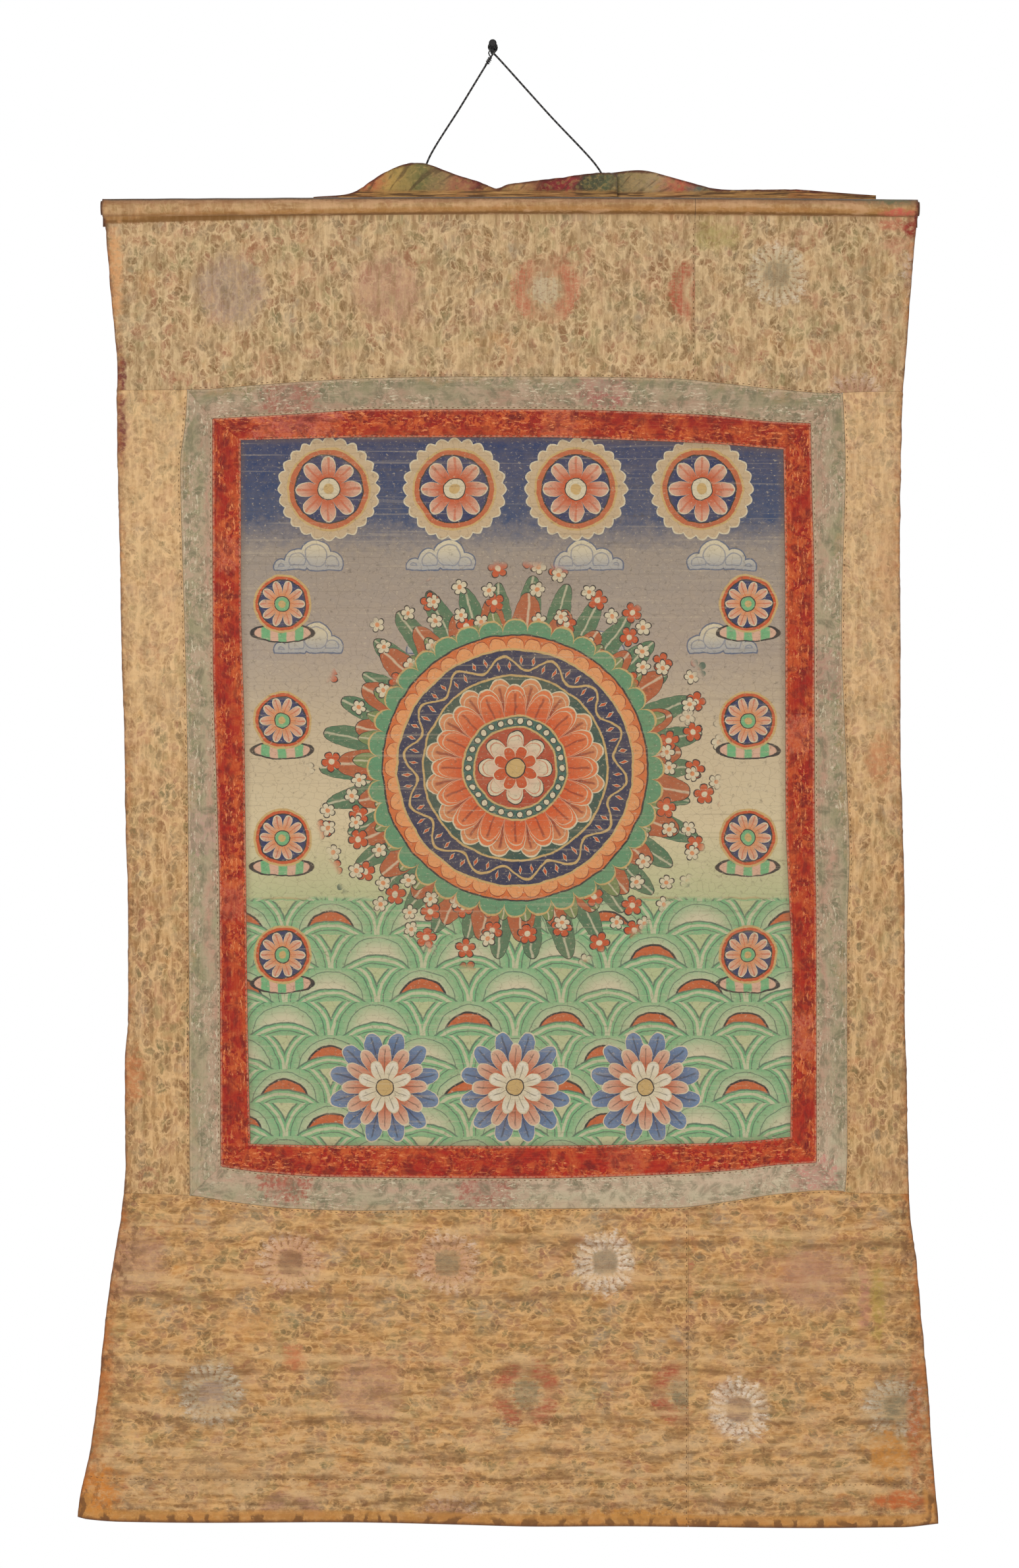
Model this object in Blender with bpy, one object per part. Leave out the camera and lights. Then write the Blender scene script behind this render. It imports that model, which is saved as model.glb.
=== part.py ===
"""Hung scroll painting: a painted canvas framed in two rings of silk strips, sewn into a brocade mount.

Metres, +Z up, +X to the viewer's right, the front faces -Y. The wall is the plane y = 0, and the origin is
the flat end of the nail where it enters the wall. Lengths in the tables are millimetres: `down` is below the
nail, `off` is out from the wall and x is across.
"""
import math
from collections import namedtuple

import bmesh
import bpy
from mathutils import Vector

MM = 0.001

# ---- driving sizes, in millimetres -------------------------------------------------------------------
CLOTH_THICK = 1.6
SEAM_GAP = 0.4
ROD_RADIUS = 6.3
ROD_LEFT = -348.5
ROD_RIGHT = 379.5
SLEEVE_LEFT = -347.0
SLEEVE_RIGHT = 378.0
SLEEVE_CLEARANCE = 0.35
ROD_OFF = 27.0
STITCH_DOWN = 154.5
STITCH_TAIL = 9.0
TOP_SEAM_X = 180.0
BOTTOM_SEAM_X = 174.0
HEM_DOWN = 1318.0
HEM_HEIGHT = 41.0
HEM_FOLD_RADIUS = 1.25
HEM_BACK_INSET = 0.8
COVER_FOOT_DOWN = 143.0
COVER_HEIGHT = 40.0
COVER_LEAN = 3.0
CORD_DIAMETER = 1.8
NAIL_SHANK_RADIUS = 2.3
NAIL_HEAD_RADIUS = 3.5
NAIL_HEAD_THICK = 1.6
NAIL_HEAD_BEVEL = 0.8
NAIL_LENGTH = 27.0
NAIL_RISE = 3.0

# ---- the sleeve's closing line behind the stitches --------------------------------------------------------
SLEEVE_PINCH = math.radians(11)
STITCH_STEP = 0.9
TAIL_SETBACK = 0.4

# ---- how unevenly the cloth hangs, in millimetres ----------------------------------------------------------
BELLY_DEPTH = 2.6
BELLY_LOST_AT_EDGE = 0.6
CURL_DEPTH = 4.5
FLUTE_DEPTH = 2.4
FLUTE_WIDTH = 265.0
FLUTE_START = -55.0
FLUTE_DRIFT = 0.9
SWAY_DEPTH = 1.1
SWAY_HEIGHT = 540.0
SWAY_SLANT = 210.0
CORNER_DEPTH = 3.0

Outline = namedtuple("Outline", "down left right")
Edge = namedtuple("Edge", "x down")
Side = namedtuple("Side", "down x")
Fold = namedtuple("Fold", "x off top")
Route = namedtuple("Route", "x off down")

# ---- the mount's outer edges --------------------------------------------------------------------------
OUTLINE = (
    Outline(154, -345.0, 377.5),
    Outline(193, -342.0, 374.0),
    Outline(240, -338.0, 370.5),
    Outline(287, -334.0, 367.0),
    Outline(311, -334.5, 365.0),
    Outline(369, -334.0, 363.5),
    Outline(451, -332.0, 362.5),
    Outline(545, -330.5, 363.0),
    Outline(615, -328.0, 363.0),
    Outline(686, -327.0, 365.0),
    Outline(779, -324.5, 367.0),
    Outline(861, -324.5, 367.0),
    Outline(908, -327.5, 368.5),
    Outline(1000, -327.0, 370.0),
    Outline(1037, -330.5, 371.5),
    Outline(1084, -338.0, 377.5),
    Outline(1131, -344.5, 381.5),
    Outline(1201, -351.5, 388.0),
    Outline(1248, -358.0, 391.0),
    Outline(1300, -368.5, 395.5),
    Outline(1320, -370.0, 397.5),
)

HEM_EDGE = (
    Edge(-372, 1307.5),
    Edge(-360, 1310.5),
    Edge(-330, 1312.5),
    Edge(-150, 1313.5),
    Edge(-34, 1315.0),
    Edge(47, 1317.0),
    Edge(256, 1318.0),
    Edge(363, 1318.0),
    Edge(400, 1314.5),
)

ROD_LINE = (
    Edge(-349, 144.0),
    Edge(-170, 143.0),
    Edge(10, 142.4),
    Edge(200, 143.2),
    Edge(380, 144.8),
)

# ---- the seams between the mount and its two silk frames --------------------------------------------------
GREY_OUTER = {
    "top": (
        Edge(-340, 306.0),
        Edge(-262, 305.5),
        Edge(-216, 302.0),
        Edge(-122, 296.0),
        Edge(-28, 294.0),
        Edge(66, 294.0),
        Edge(159, 295.5),
        Edge(206, 300.0),
        Edge(253, 305.0),
        Edge(300, 308.5),
        Edge(324, 307.5),
        Edge(372, 306.5),
    ),
    "bottom": (
        Edge(-340, 1020.0),
        Edge(-275, 1022.0),
        Edge(-230, 1028.5),
        Edge(-180, 1034.0),
        Edge(-122, 1036.0),
        Edge(-28, 1034.5),
        Edge(159, 1033.5),
        Edge(206, 1028.0),
        Edge(253, 1021.0),
        Edge(300, 1017.5),
        Edge(324, 1020.0),
        Edge(375, 1021.5),
    ),
    "left": (
        Side(296, -271.0),
        Side(335, -273.5),
        Side(372, -278.0),
        Side(475, -275.5),
        Side(580, -272.5),
        Side(690, -271.0),
        Side(861, -270.0),
        Side(1030, -269.5),
    ),
    "right": (
        Side(296, 311.0),
        Side(369, 314.0),
        Side(510, 310.5),
        Side(650, 315.0),
        Side(721, 317.5),
        Side(791, 315.5),
        Side(985, 315.5),
        Side(1030, 312.5),
    ),
}

RED_OUTER = {
    "top": (
        Edge(-252, 331.5),
        Edge(-169, 327.0),
        Edge(-104, 323.0),
        Edge(42, 323.0),
        Edge(183, 327.5),
        Edge(253, 334.0),
        Edge(290, 335.5),
    ),
    "bottom": (
        Edge(-246, 996.0),
        Edge(-204, 1002.0),
        Edge(-145, 1006.0),
        Edge(42, 1007.0),
        Edge(148, 1004.0),
        Edge(218, 999.5),
        Edge(253, 995.0),
        Edge(292, 993.0),
    ),
    "left": (
        Side(320, -249.5),
        Side(545, -249.0),
        Side(662, -245.5),
        Side(756, -243.0),
        Side(1008, -242.0),
    ),
    "right": (
        Side(320, 283.0),
        Side(369, 283.5),
        Side(475, 286.0),
        Side(686, 286.5),
        Side(790, 288.0),
        Side(1008, 288.0),
    ),
}

PAINTING_EDGE = {
    "top": (
        Edge(-226, 350.5),
        Edge(-104, 348.0),
        Edge(42, 348.0),
        Edge(120, 350.5),
        Edge(183, 353.0),
        Edge(262, 359.0),
    ),
    "bottom": (
        Edge(-220, 976.5),
        Edge(-134, 978.0),
        Edge(42, 978.0),
        Edge(183, 976.0),
        Edge(225, 974.0),
        Edge(270, 969.5),
    ),
    "left": (
        Side(345, -224.0),
        Side(486, -224.0),
        Side(600, -221.0),
        Side(721, -219.5),
        Side(861, -218.0),
        Side(980, -215.5),
    ),
    "right": (
        Side(345, 258.5),
        Side(475, 260.0),
        Side(686, 260.5),
        Side(756, 263.5),
        Side(826, 266.5),
        Side(980, 264.5),
    ),
}

# ---- the bunched cover: its plan along the wall, with the height of its upper edge ------------------------
COVER_ROUTE = (
    Fold(-160, 17.0, 132.5),
    Fold(-128, 17.0, 129.5),
    Fold(-117, 16.5, 124.5),
    Fold(-104, 15.8, 115.0),
    Fold(-92, 15.5, 108.2),
    Fold(-80, 15.3, 103.2),
    Fold(-69, 15.3, 101.6),
    Fold(-57, 15.3, 103.2),
    Fold(-34, 15.8, 112.0),
    Fold(-11, 16.5, 119.5),
    Fold(3, 17.0, 125.0),
    Fold(14, 16.8, 121.5),
    Fold(36, 16.3, 118.4),
    Fold(60, 15.8, 115.3),
    Fold(78, 15.7, 112.6),
    Fold(98, 15.8, 110.6),
    Fold(107, 15.6, 111.2),
    Fold(110.5, 13.7, 112.0),
    Fold(107, 11.4, 112.0),
    Fold(98, 10.9, 111.5),
    Fold(91, 10.4, 111.8),
    Fold(88.5, 8.5, 111.8),
    Fold(93, 6.7, 111.0),
    Fold(107, 6.5, 109.0),
    Fold(130, 7.5, 106.8),
    Fold(142, 8.7, 108.4),
    Fold(154, 10.5, 112.0),
    Fold(177, 13.5, 119.0),
    Fold(200, 15.8, 125.4),
    Fold(236, 17.0, 126.0),
    Fold(271, 17.0, 126.0),
    Fold(318, 17.0, 129.5),
    Fold(342, 17.0, 131.0),
)

# ---- the cord: from the back of the sleeve, once round the nail, and back to the sleeve --------------------
CORD_ROUTE = (
    Route(-62.0, 20.7, 150.4),
    Route(-62.0, 16.2, 148.4),
    Route(-62.0, 12.6, 144.2),
    Route(-62.0, 10.4, 132.0),
    Route(-61.4, 9.0, 112.0),
    Route(-57.7, 9.2, 98.0),
    Route(-28.0, 11.0, 49.7),
    Route(-4.7, 12.4, 11.7),
    Route(0.5, 12.7, 3.5),
    Route(3.2, 12.8, 0.3),
    Route(3.55, 13.1, -2.5),
    Route(2.35, 13.5, -4.55),
    Route(0.0, 13.9, -5.4),
    Route(-2.4, 14.4, -4.5),
    Route(-3.55, 14.8, -2.3),
    Route(-2.95, 15.2, 0.5),
    Route(0.5, 15.4, 3.8),
    Route(6.0, 15.2, 9.5),
    Route(50.0, 13.3, 58.0),
    Route(92.5, 11.4, 103.6),
    Route(97.8, 11.45, 113.0),
    Route(98.5, 12.75, 130.0),
    Route(98.5, 13.5, 143.4),
    Route(98.5, 16.6, 148.4),
    Route(98.5, 20.7, 150.6),
)


def smooth(rows, at, key, value):
    """The value of a table column at a place between its rows, along a smooth curve through them."""
    places = [getattr(r, key) for r in rows]
    values = [getattr(r, value) for r in rows]
    if at <= places[0]:
        return values[0]
    if at >= places[-1]:
        return values[-1]
    i = max(k for k in range(len(rows) - 1) if places[k] <= at)
    span = places[i + 1] - places[i]
    t = (at - places[i]) / span
    slope = (values[i + 1] - values[i]) / span
    before = slope
    after = slope
    if i > 0:
        back = (values[i] - values[i - 1]) / (places[i] - places[i - 1])
        before = middle_slope(back, slope)
    if i < len(rows) - 2:
        ahead = (values[i + 2] - values[i + 1]) / (places[i + 2] - places[i + 1])
        after = middle_slope(slope, ahead)
    a = (1 + 2 * t) * (1 - t) ** 2
    b = t * (1 - t) ** 2
    c = t * t * (3 - 2 * t)
    d = t * t * (t - 1)
    return a * values[i] + b * span * before + c * values[i + 1] + d * span * after


def middle_slope(one, two):
    """The slope at a row between two runs: none at a peak, else the harmonic mean, so nothing overshoots."""
    if one * two <= 0:
        return 0.0
    return 2 * one * two / (one + two)


def spline(rows, t):
    """A point on the smooth curve through rows of three numbers, t counted in rows."""
    i = min(int(t), len(rows) - 2)
    f = t - i
    p1 = Vector(rows[i])
    p2 = Vector(rows[i + 1])
    p0 = Vector(rows[i - 1]) if i > 0 else p1 * 2 - p2
    p3 = Vector(rows[i + 2]) if i < len(rows) - 2 else p2 * 2 - p1
    # centripetal spacing keeps the curve tight where rows are close together
    k0 = max((p1 - p0).length, 1e-6) ** 0.5
    k1 = max((p2 - p1).length, 1e-6) ** 0.5
    k2 = max((p3 - p2).length, 1e-6) ** 0.5
    m1 = (p2 - p1) / k1 - (p2 - p0) / (k0 + k1) + (p1 - p0) / k0
    m2 = (p3 - p2) / k2 - (p3 - p1) / (k1 + k2) + (p2 - p1) / k1
    m1 *= k1
    m2 *= k1
    return (
        p1 * ((1 + 2 * f) * (1 - f) ** 2)
        + m1 * (f * (1 - f) ** 2)
        + p2 * (f * f * (3 - 2 * f))
        + m2 * (f * f * (f - 1))
    )


def left_edge(down):
    return smooth(OUTLINE, down, "down", "left")


def right_edge(down):
    return smooth(OUTLINE, down, "down", "right")


def rod_down(x):
    return smooth(ROD_LINE, x, "x", "down")


def hang_off(x, down):
    """How far the middle of the cloth hangs from the wall: straight at the rod, softly uneven below."""
    drop = min(max((down - STITCH_DOWN) / (HEM_DOWN - STITCH_DOWN), 0.0), 1.0)
    left = left_edge(down)
    right = right_edge(down)
    across = (2 * x - left - right) / (right - left)
    belly = BELLY_DEPTH * math.sin(math.pi * drop) * (1 - BELLY_LOST_AT_EDGE * across**2)
    curl = CURL_DEPTH * abs(across) ** 6 * math.sin(math.pi * drop) ** 0.7
    drift = FLUTE_DRIFT * math.sin(3 * drop)
    flute = FLUTE_DEPTH * drop**2 * math.sin(2 * math.pi * (x - FLUTE_START) / FLUTE_WIDTH + drift)
    sway = SWAY_DEPTH * min(drop * 8, 1.0) * math.sin(2 * math.pi * down / SWAY_HEIGHT + x / SWAY_SLANT)
    corner = CORNER_DEPTH * drop**7 * across**2
    return ROD_OFF + belly - curl + flute + sway + corner


def on_cloth(x, down, behind=0.0):
    """A point in the middle of the cloth, or that far behind it, in metres."""
    return Vector((x, -(hang_off(x, down) - behind), -down)) * MM


# ---- materials -----------------------------------------------------------------------------------------
def principled(name, colour, roughness, metallic=0.0):
    mat = bpy.data.materials.get(name) or bpy.data.materials.new(name)
    mat.use_nodes = True
    shader = mat.node_tree.nodes["Principled BSDF"]
    shader.inputs["Base Color"].default_value = (*colour, 1.0)
    shader.inputs["Roughness"].default_value = roughness
    shader.inputs["Metallic"].default_value = metallic
    mat.diffuse_color = (*colour, 1.0)
    mat.roughness = roughness
    mat.metallic = metallic
    return mat


def gold_brocade():
    return principled("gold_brocade", (0.44, 0.30, 0.14), 0.72)


def red_silk():
    return principled("red_silk", (0.36, 0.05, 0.02), 0.62)


def grey_silk():
    return principled("grey_silk", (0.34, 0.33, 0.24), 0.64)


def painted_canvas():
    return principled("painted_canvas", (0.20, 0.22, 0.20), 0.78)


def cover_silk():
    return principled("cover_silk", (0.30, 0.19, 0.07), 0.66)


def rod_wood():
    return principled("rod_wood", (0.22, 0.12, 0.06), 0.6)


def grey_string():
    return principled("grey_string", (0.06, 0.06, 0.06), 0.85)


def dark_iron():
    return principled("dark_iron", (0.02, 0.02, 0.022), 0.45, 0.8)


# ---- building blocks -----------------------------------------------------------------------------------
def add_object(name, data, mat):
    obj = bpy.data.objects.new(name, data)
    bpy.context.collection.objects.link(obj)
    data.materials.append(mat)
    return obj


def cloth(name, mat, columns, rows, place):
    """One cut of cloth: a grid laid out by place(u, row) and thickened both ways."""
    mesh = bpy.data.meshes.new(name)
    bm = bmesh.new()
    bmesh.ops.create_grid(bm, x_segments=columns, y_segments=rows, size=0.5)
    for vert in bm.verts:
        vert.co = place(vert.co.x + 0.5, round((vert.co.y + 0.5) * rows))
    bm.to_mesh(mesh)
    bm.free()
    mesh.shade_smooth()
    obj = add_object(name, mesh, mat)
    thick = obj.modifiers.new("Thickness", "SOLIDIFY")
    thick.thickness = CLOTH_THICK * MM
    thick.offset = 0.0
    thick.use_even_offset = True
    return obj


def settle(x_at, down_at):
    """A place where an across-curve, x_at(down), meets a down-curve, down_at(x)."""
    x = 0.0
    down = 0.0
    for _ in range(12):
        x = x_at(down)
        down = down_at(x)
    return x, down


def corners(ring):
    """The four corners of a ring of edges, where its sides meet its top and bottom."""
    found = {}
    for side in ("left", "right"):
        for end in ("top", "bottom"):
            found[end, side] = settle(
                lambda d, s=side: smooth(ring[s], d, "down", "x"),
                lambda x, e=end: smooth(ring[e], x, "x", "down"),
            )
    return found


def along_ring(ring, name, u):
    """A point (x, down) along one edge of a ring, u from its first corner to its last."""
    marks = corners(ring)
    if name in ("top", "bottom"):
        first = marks[name, "left"]
        last = marks[name, "right"]
        x = first[0] + (last[0] - first[0]) * u
        return x, smooth(ring[name], x, "x", "down")
    first = marks["top", name]
    last = marks["bottom", name]
    down = first[1] + (last[1] - first[1]) * u
    return smooth(ring[name], down, "down", "x"), down


# ---- cloth pieces --------------------------------------------------------------------------------------
def frame_strip(name, mat, edge, outer, inner, columns):
    """One mitred strip between two rings."""
    start = Vector(along_ring(outer, edge, 0.0))
    finish = Vector(along_ring(outer, edge, 1.0))
    width = (Vector(along_ring(inner, edge, 0.5)) - Vector(along_ring(outer, edge, 0.5))).length
    end_inset = 0.75 * SEAM_GAP / (finish - start).length
    side_inset = 0.5 * SEAM_GAP / width
    rows = 2

    def place(u, row):
        u = end_inset + u * (1 - 2 * end_inset)
        v = side_inset + row / rows * (1 - 2 * side_inset)
        out = Vector(along_ring(outer, edge, u))
        into = Vector(along_ring(inner, edge, u))
        at = out.lerp(into, v)
        return on_cloth(at.x, at.y)

    return cloth(name, mat, columns, rows, place)


def painting():
    rows = 18
    columns = 14
    inset = 0.5 * SEAM_GAP

    def place(u, row):
        v = row / rows
        top = along_ring(PAINTING_EDGE, "top", u)
        bottom = along_ring(PAINTING_EDGE, "bottom", u)
        left = along_ring(PAINTING_EDGE, "left", v)
        right = along_ring(PAINTING_EDGE, "right", v)
        x = left[0] + inset + (right[0] - left[0] - 2 * inset) * u
        down = top[1] + inset + (bottom[1] - top[1] - 2 * inset) * v
        return on_cloth(x, down)

    return cloth("painting", painted_canvas(), columns, rows, place)


def between(left_at, right_at, top_at, bottom_at, u, v):
    """A point in a panel whose sides run down (x by down) and whose ends run across (down by x)."""
    x = 0.0
    down = 0.5 * (top_at(0.0) + bottom_at(0.0))
    for _ in range(12):
        x = left_at(down) + (right_at(down) - left_at(down)) * u
        down = top_at(x) + (bottom_at(x) - top_at(x)) * v
    return x, down


def upper_seam(x):
    return smooth(GREY_OUTER["top"], x, "x", "down")


def lower_seam(x):
    return smooth(GREY_OUTER["bottom"], x, "x", "down")


def hem_edge(x):
    return smooth(HEM_EDGE, x, "x", "down")


def top_panel(name, left_at, right_at, sleeve_left, sleeve_right, columns):
    """A width of the heading: flat up to the stitch line, round the rod, and down behind as a short tail."""
    flat_rows = 7
    ring_rows = 12
    tail_rows = 1
    radius = ROD_RADIUS + SLEEVE_CLEARANCE + 0.5 * CLOTH_THICK

    def place(u, row):
        if row <= flat_rows:
            v = 1 - row / flat_rows
            x, down = between(
                left_at, right_at, lambda _: STITCH_DOWN, lambda x: upper_seam(x) - 0.5 * SEAM_GAP, u, v
            )
            return on_cloth(x, down, behind=-STITCH_STEP if row == flat_rows else 0.0)
        x = sleeve_left + (sleeve_right - sleeve_left) * u
        if row <= flat_rows + ring_rows:
            turn = (row - flat_rows - 1) / (ring_rows - 1)
            angle = SLEEVE_PINCH + (2 * math.pi - 2 * SLEEVE_PINCH) * turn
            off = ROD_OFF + radius * math.sin(angle)
            down = rod_down(x) + radius * math.cos(angle)
            return Vector((x, -off, -down)) * MM
        off = ROD_OFF - radius * math.sin(SLEEVE_PINCH) - TAIL_SETBACK
        return Vector((x, -off, -(STITCH_DOWN + STITCH_TAIL))) * MM

    return cloth(name, gold_brocade(), columns, flat_rows + ring_rows + tail_rows, place)


def side_panel(name, left_at, right_at):
    rows = 24

    def place(u, row):
        x, down = between(
            left_at,
            right_at,
            lambda x: upper_seam(x) + 0.5 * SEAM_GAP,
            lambda x: lower_seam(x) - 0.5 * SEAM_GAP,
            u,
            row / rows,
        )
        return on_cloth(x, down)

    return cloth(name, gold_brocade(), 4, rows, place)


def bottom_panel(name, left_at, right_at, columns):
    """A width of the foot: flat down to the hem's edge, round its fold and up behind."""
    flat_rows = 11
    turn_rows = 4
    back_rows = 3
    fold = HEM_FOLD_RADIUS

    def place(u, row):
        v = min(row / flat_rows, 1.0)
        x, down = between(
            left_at,
            right_at,
            lambda x: lower_seam(x) + 0.5 * SEAM_GAP,
            lambda x: hem_edge(x) - fold - 0.5 * CLOTH_THICK,
            u,
            v,
        )
        if row <= flat_rows:
            return on_cloth(x, down)
        if row <= flat_rows + turn_rows:
            angle = math.pi * (row - flat_rows) / turn_rows
            base = on_cloth(x, down)
            return base + Vector((0, fold * (1 - math.cos(angle)), -fold * math.sin(angle))) * MM
        down -= (HEM_HEIGHT - fold) * (row - flat_rows - turn_rows) / back_rows
        inset = HEM_BACK_INSET * (1 - 2 * u)
        x = left_at(down) + (right_at(down) - left_at(down)) * u + inset
        return on_cloth(x, down, behind=2 * fold)

    return cloth(name, gold_brocade(), columns, flat_rows + turn_rows + back_rows, place)


def cover_cloth():
    """The cover bunched behind the rod: a strip on edge, pleated once, drawn up in two humps."""
    rows = 4
    columns = 2 * (len(COVER_ROUTE) - 1)

    def place(u, row):
        x, off, top = spline(COVER_ROUTE, u * (len(COVER_ROUTE) - 1))
        down = COVER_FOOT_DOWN + (top - COVER_FOOT_DOWN) * row / rows
        lean = COVER_LEAN * ((COVER_FOOT_DOWN - down) / COVER_HEIGHT) ** 1.5
        return Vector((x, -(off - lean), -down)) * MM

    return cloth("cover_cloth", cover_silk(), columns, rows, place)


# ---- rod, cord and nail --------------------------------------------------------------------------------
def tube(name, mat, points, radius, resolution):
    curve = bpy.data.curves.new(name, "CURVE")
    curve.dimensions = "3D"
    curve.bevel_depth = radius * MM
    curve.bevel_resolution = resolution
    curve.use_fill_caps = True
    line = curve.splines.new("POLY")
    line.points.add(len(points) - 1)
    for point, at in zip(line.points, points):
        point.co = (*at, 1.0)
    line.use_smooth = True
    return add_object(name, curve, mat)


def top_rod():
    steps = 12
    points = []
    for i in range(steps + 1):
        x = ROD_LEFT + (ROD_RIGHT - ROD_LEFT) * i / steps
        points.append(Vector((x, -ROD_OFF, -rod_down(x))) * MM)
    return tube("top_rod", rod_wood(), points, ROD_RADIUS, 6)


def cord_points():
    """The cord's centre line, a point every 3 diameters, closer in its turn round the nail."""
    points = []
    for i in range(len(CORD_ROUTE) - 1):
        length = (Vector(CORD_ROUTE[i + 1]) - Vector(CORD_ROUTE[i])).length
        parts = max(2 if length < 2 * CORD_DIAMETER else 1, round(length / (3 * CORD_DIAMETER)))
        for k in range(parts):
            x, off, down = spline(CORD_ROUTE, i + k / parts)
            points.append(Vector((x, -off, -down)) * MM)
    x, off, down = CORD_ROUTE[-1]
    points.append(Vector((x, -off, -down)) * MM)
    return points


def hanging_cord():
    return tube("hanging_cord", grey_string(), cord_points(), 0.5 * CORD_DIAMETER, 2)


def nail():
    """A round nail driven in with a slight upward slope; its wall end is cut flat on the wall."""
    sides = 16
    mesh = bpy.data.meshes.new("nail")
    bm = bmesh.new()
    profile = (
        (0.0, NAIL_SHANK_RADIUS),
        (NAIL_LENGTH - NAIL_HEAD_THICK - NAIL_HEAD_BEVEL, NAIL_SHANK_RADIUS),
        (NAIL_LENGTH - NAIL_HEAD_THICK, NAIL_HEAD_RADIUS),
        (NAIL_LENGTH - 0.6 * NAIL_HEAD_BEVEL, NAIL_HEAD_RADIUS),
        (NAIL_LENGTH, NAIL_HEAD_RADIUS - NAIL_HEAD_BEVEL),
    )
    rings = []
    for off, radius in profile:
        rise = NAIL_RISE * off / NAIL_LENGTH
        ring = []
        for k in range(sides):
            angle = 2 * math.pi * k / sides
            at = Vector((radius * math.cos(angle), -off, rise + radius * math.sin(angle))) * MM
            ring.append(bm.verts.new(at))
        rings.append([bm.edges.new((ring[k], ring[(k + 1) % sides])) for k in range(sides)])
    for first, second in zip(rings, rings[1:]):
        bmesh.ops.bridge_loops(bm, edges=first + second)
    for ring in (rings[0], rings[-1]):
        bmesh.ops.contextual_create(bm, geom=ring)
    bmesh.ops.recalc_face_normals(bm, faces=bm.faces)
    bm.to_mesh(mesh)
    bm.free()
    mesh.shade_smooth()
    mesh.set_sharp_from_angle(angle=math.radians(35))
    return add_object("nail", mesh, dark_iron())


def clear_scene():
    for obj in list(bpy.data.objects):
        bpy.data.objects.remove(obj, do_unlink=True)


def main():
    clear_scene()
    half = 0.5 * SEAM_GAP
    painting()
    for edge, columns in (("top", 30), ("bottom", 30), ("left", 20), ("right", 20)):
        frame_strip("red_strip_" + edge, red_silk(), edge, RED_OUTER, PAINTING_EDGE, columns)
        frame_strip("grey_strip_" + edge, grey_silk(), edge, GREY_OUTER, RED_OUTER, columns)
    top_panel(
        "top_panel_left", left_edge, lambda d: TOP_SEAM_X - half, SLEEVE_LEFT, TOP_SEAM_X - half, 18
    )
    top_panel(
        "top_panel_right", lambda d: TOP_SEAM_X + half, right_edge, TOP_SEAM_X + half, SLEEVE_RIGHT, 7
    )
    side_panel("side_panel_left", left_edge, lambda d: smooth(GREY_OUTER["left"], d, "down", "x") - half)
    side_panel("side_panel_right", lambda d: smooth(GREY_OUTER["right"], d, "down", "x") + half, right_edge)
    bottom_panel("bottom_panel_left", left_edge, lambda d: BOTTOM_SEAM_X - half, 26)
    bottom_panel("bottom_panel_right", lambda d: BOTTOM_SEAM_X + half, right_edge, 8)
    cover_cloth()
    top_rod()
    hanging_cord()
    nail()


main()
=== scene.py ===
"""The looks of a hung scroll painting: fine cloth, its stitching, string and nail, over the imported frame.

Metres in the scene. Lengths in the tables are millimetres: `down` is below the nail, `off` is out from the
wall, x is across. Colours are given as 8-bit tones as they look in flat daylight.
"""
import math

import bmesh
import bpy
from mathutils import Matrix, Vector, noise

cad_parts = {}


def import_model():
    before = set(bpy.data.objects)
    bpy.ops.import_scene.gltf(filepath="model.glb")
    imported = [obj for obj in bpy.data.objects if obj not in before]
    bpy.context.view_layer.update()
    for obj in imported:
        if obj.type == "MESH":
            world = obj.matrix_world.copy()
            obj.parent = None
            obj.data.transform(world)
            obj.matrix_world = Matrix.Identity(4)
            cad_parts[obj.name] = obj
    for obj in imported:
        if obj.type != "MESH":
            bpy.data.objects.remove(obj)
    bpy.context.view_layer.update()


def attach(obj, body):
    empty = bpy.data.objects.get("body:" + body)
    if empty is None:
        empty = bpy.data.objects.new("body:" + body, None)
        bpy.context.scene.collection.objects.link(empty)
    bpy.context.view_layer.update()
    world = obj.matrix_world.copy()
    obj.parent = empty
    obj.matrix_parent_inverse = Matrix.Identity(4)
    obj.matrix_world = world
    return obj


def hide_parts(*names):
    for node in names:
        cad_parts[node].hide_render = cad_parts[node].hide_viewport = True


MM = 0.001

# ---- the frame's driving sizes, repeated in millimetres --------------------
CLOTH_THICK = 1.6
SEAM_GAP = 0.4
HALF_GAP = 0.15
ROD_RADIUS = 6.3
SLEEVE_LEFT = -347
SLEEVE_RIGHT = 378
SLEEVE_CLEARANCE = 0.35
SLEEVE_PINCH = math.radians(11)
ROD_OFF = 27
STITCH_DOWN = 154.5
STITCH_STEP = 0.9
STITCH_TAIL = 9
TAIL_SETBACK = 0.4
TOP_SEAM_X = 180
BOTTOM_SEAM_X = 174
HEM_HEIGHT = 41
HEM_FOLD_RADIUS = 1.25
HEM_BACK_INSET = 0.8
HEM_DOWN = 1318
COVER_FOOT_DOWN = 143
COVER_HEIGHT = 40
COVER_LEAN = 3
CORD_DIAMETER = 1.8
NAIL_LENGTH = 27
NAIL_RISE = 3

# ---- how unevenly the cloth hangs, in millimetres --------------------
BELLY_DEPTH = 2.6
BELLY_LOST_AT_EDGE = 0.6
CURL_DEPTH = 4.5
FLUTE_DEPTH = 2.4
FLUTE_WIDTH = 265
FLUTE_START = -55
FLUTE_DRIFT = 0.9
SWAY_DEPTH = 1.1
SWAY_HEIGHT = 540
SWAY_SLANT = 210
CORNER_DEPTH = 3

# ---- how fine the visual cloth is --------------------
CELL = 3.6
EDGE_STEPS = (0.0, 0.7, 1.6, 3.0)
SEAM_ROLL = 0.55
SEAM_ROLL_WIDTH = 3.2
FOLD_DEPTH = 2.2

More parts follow.
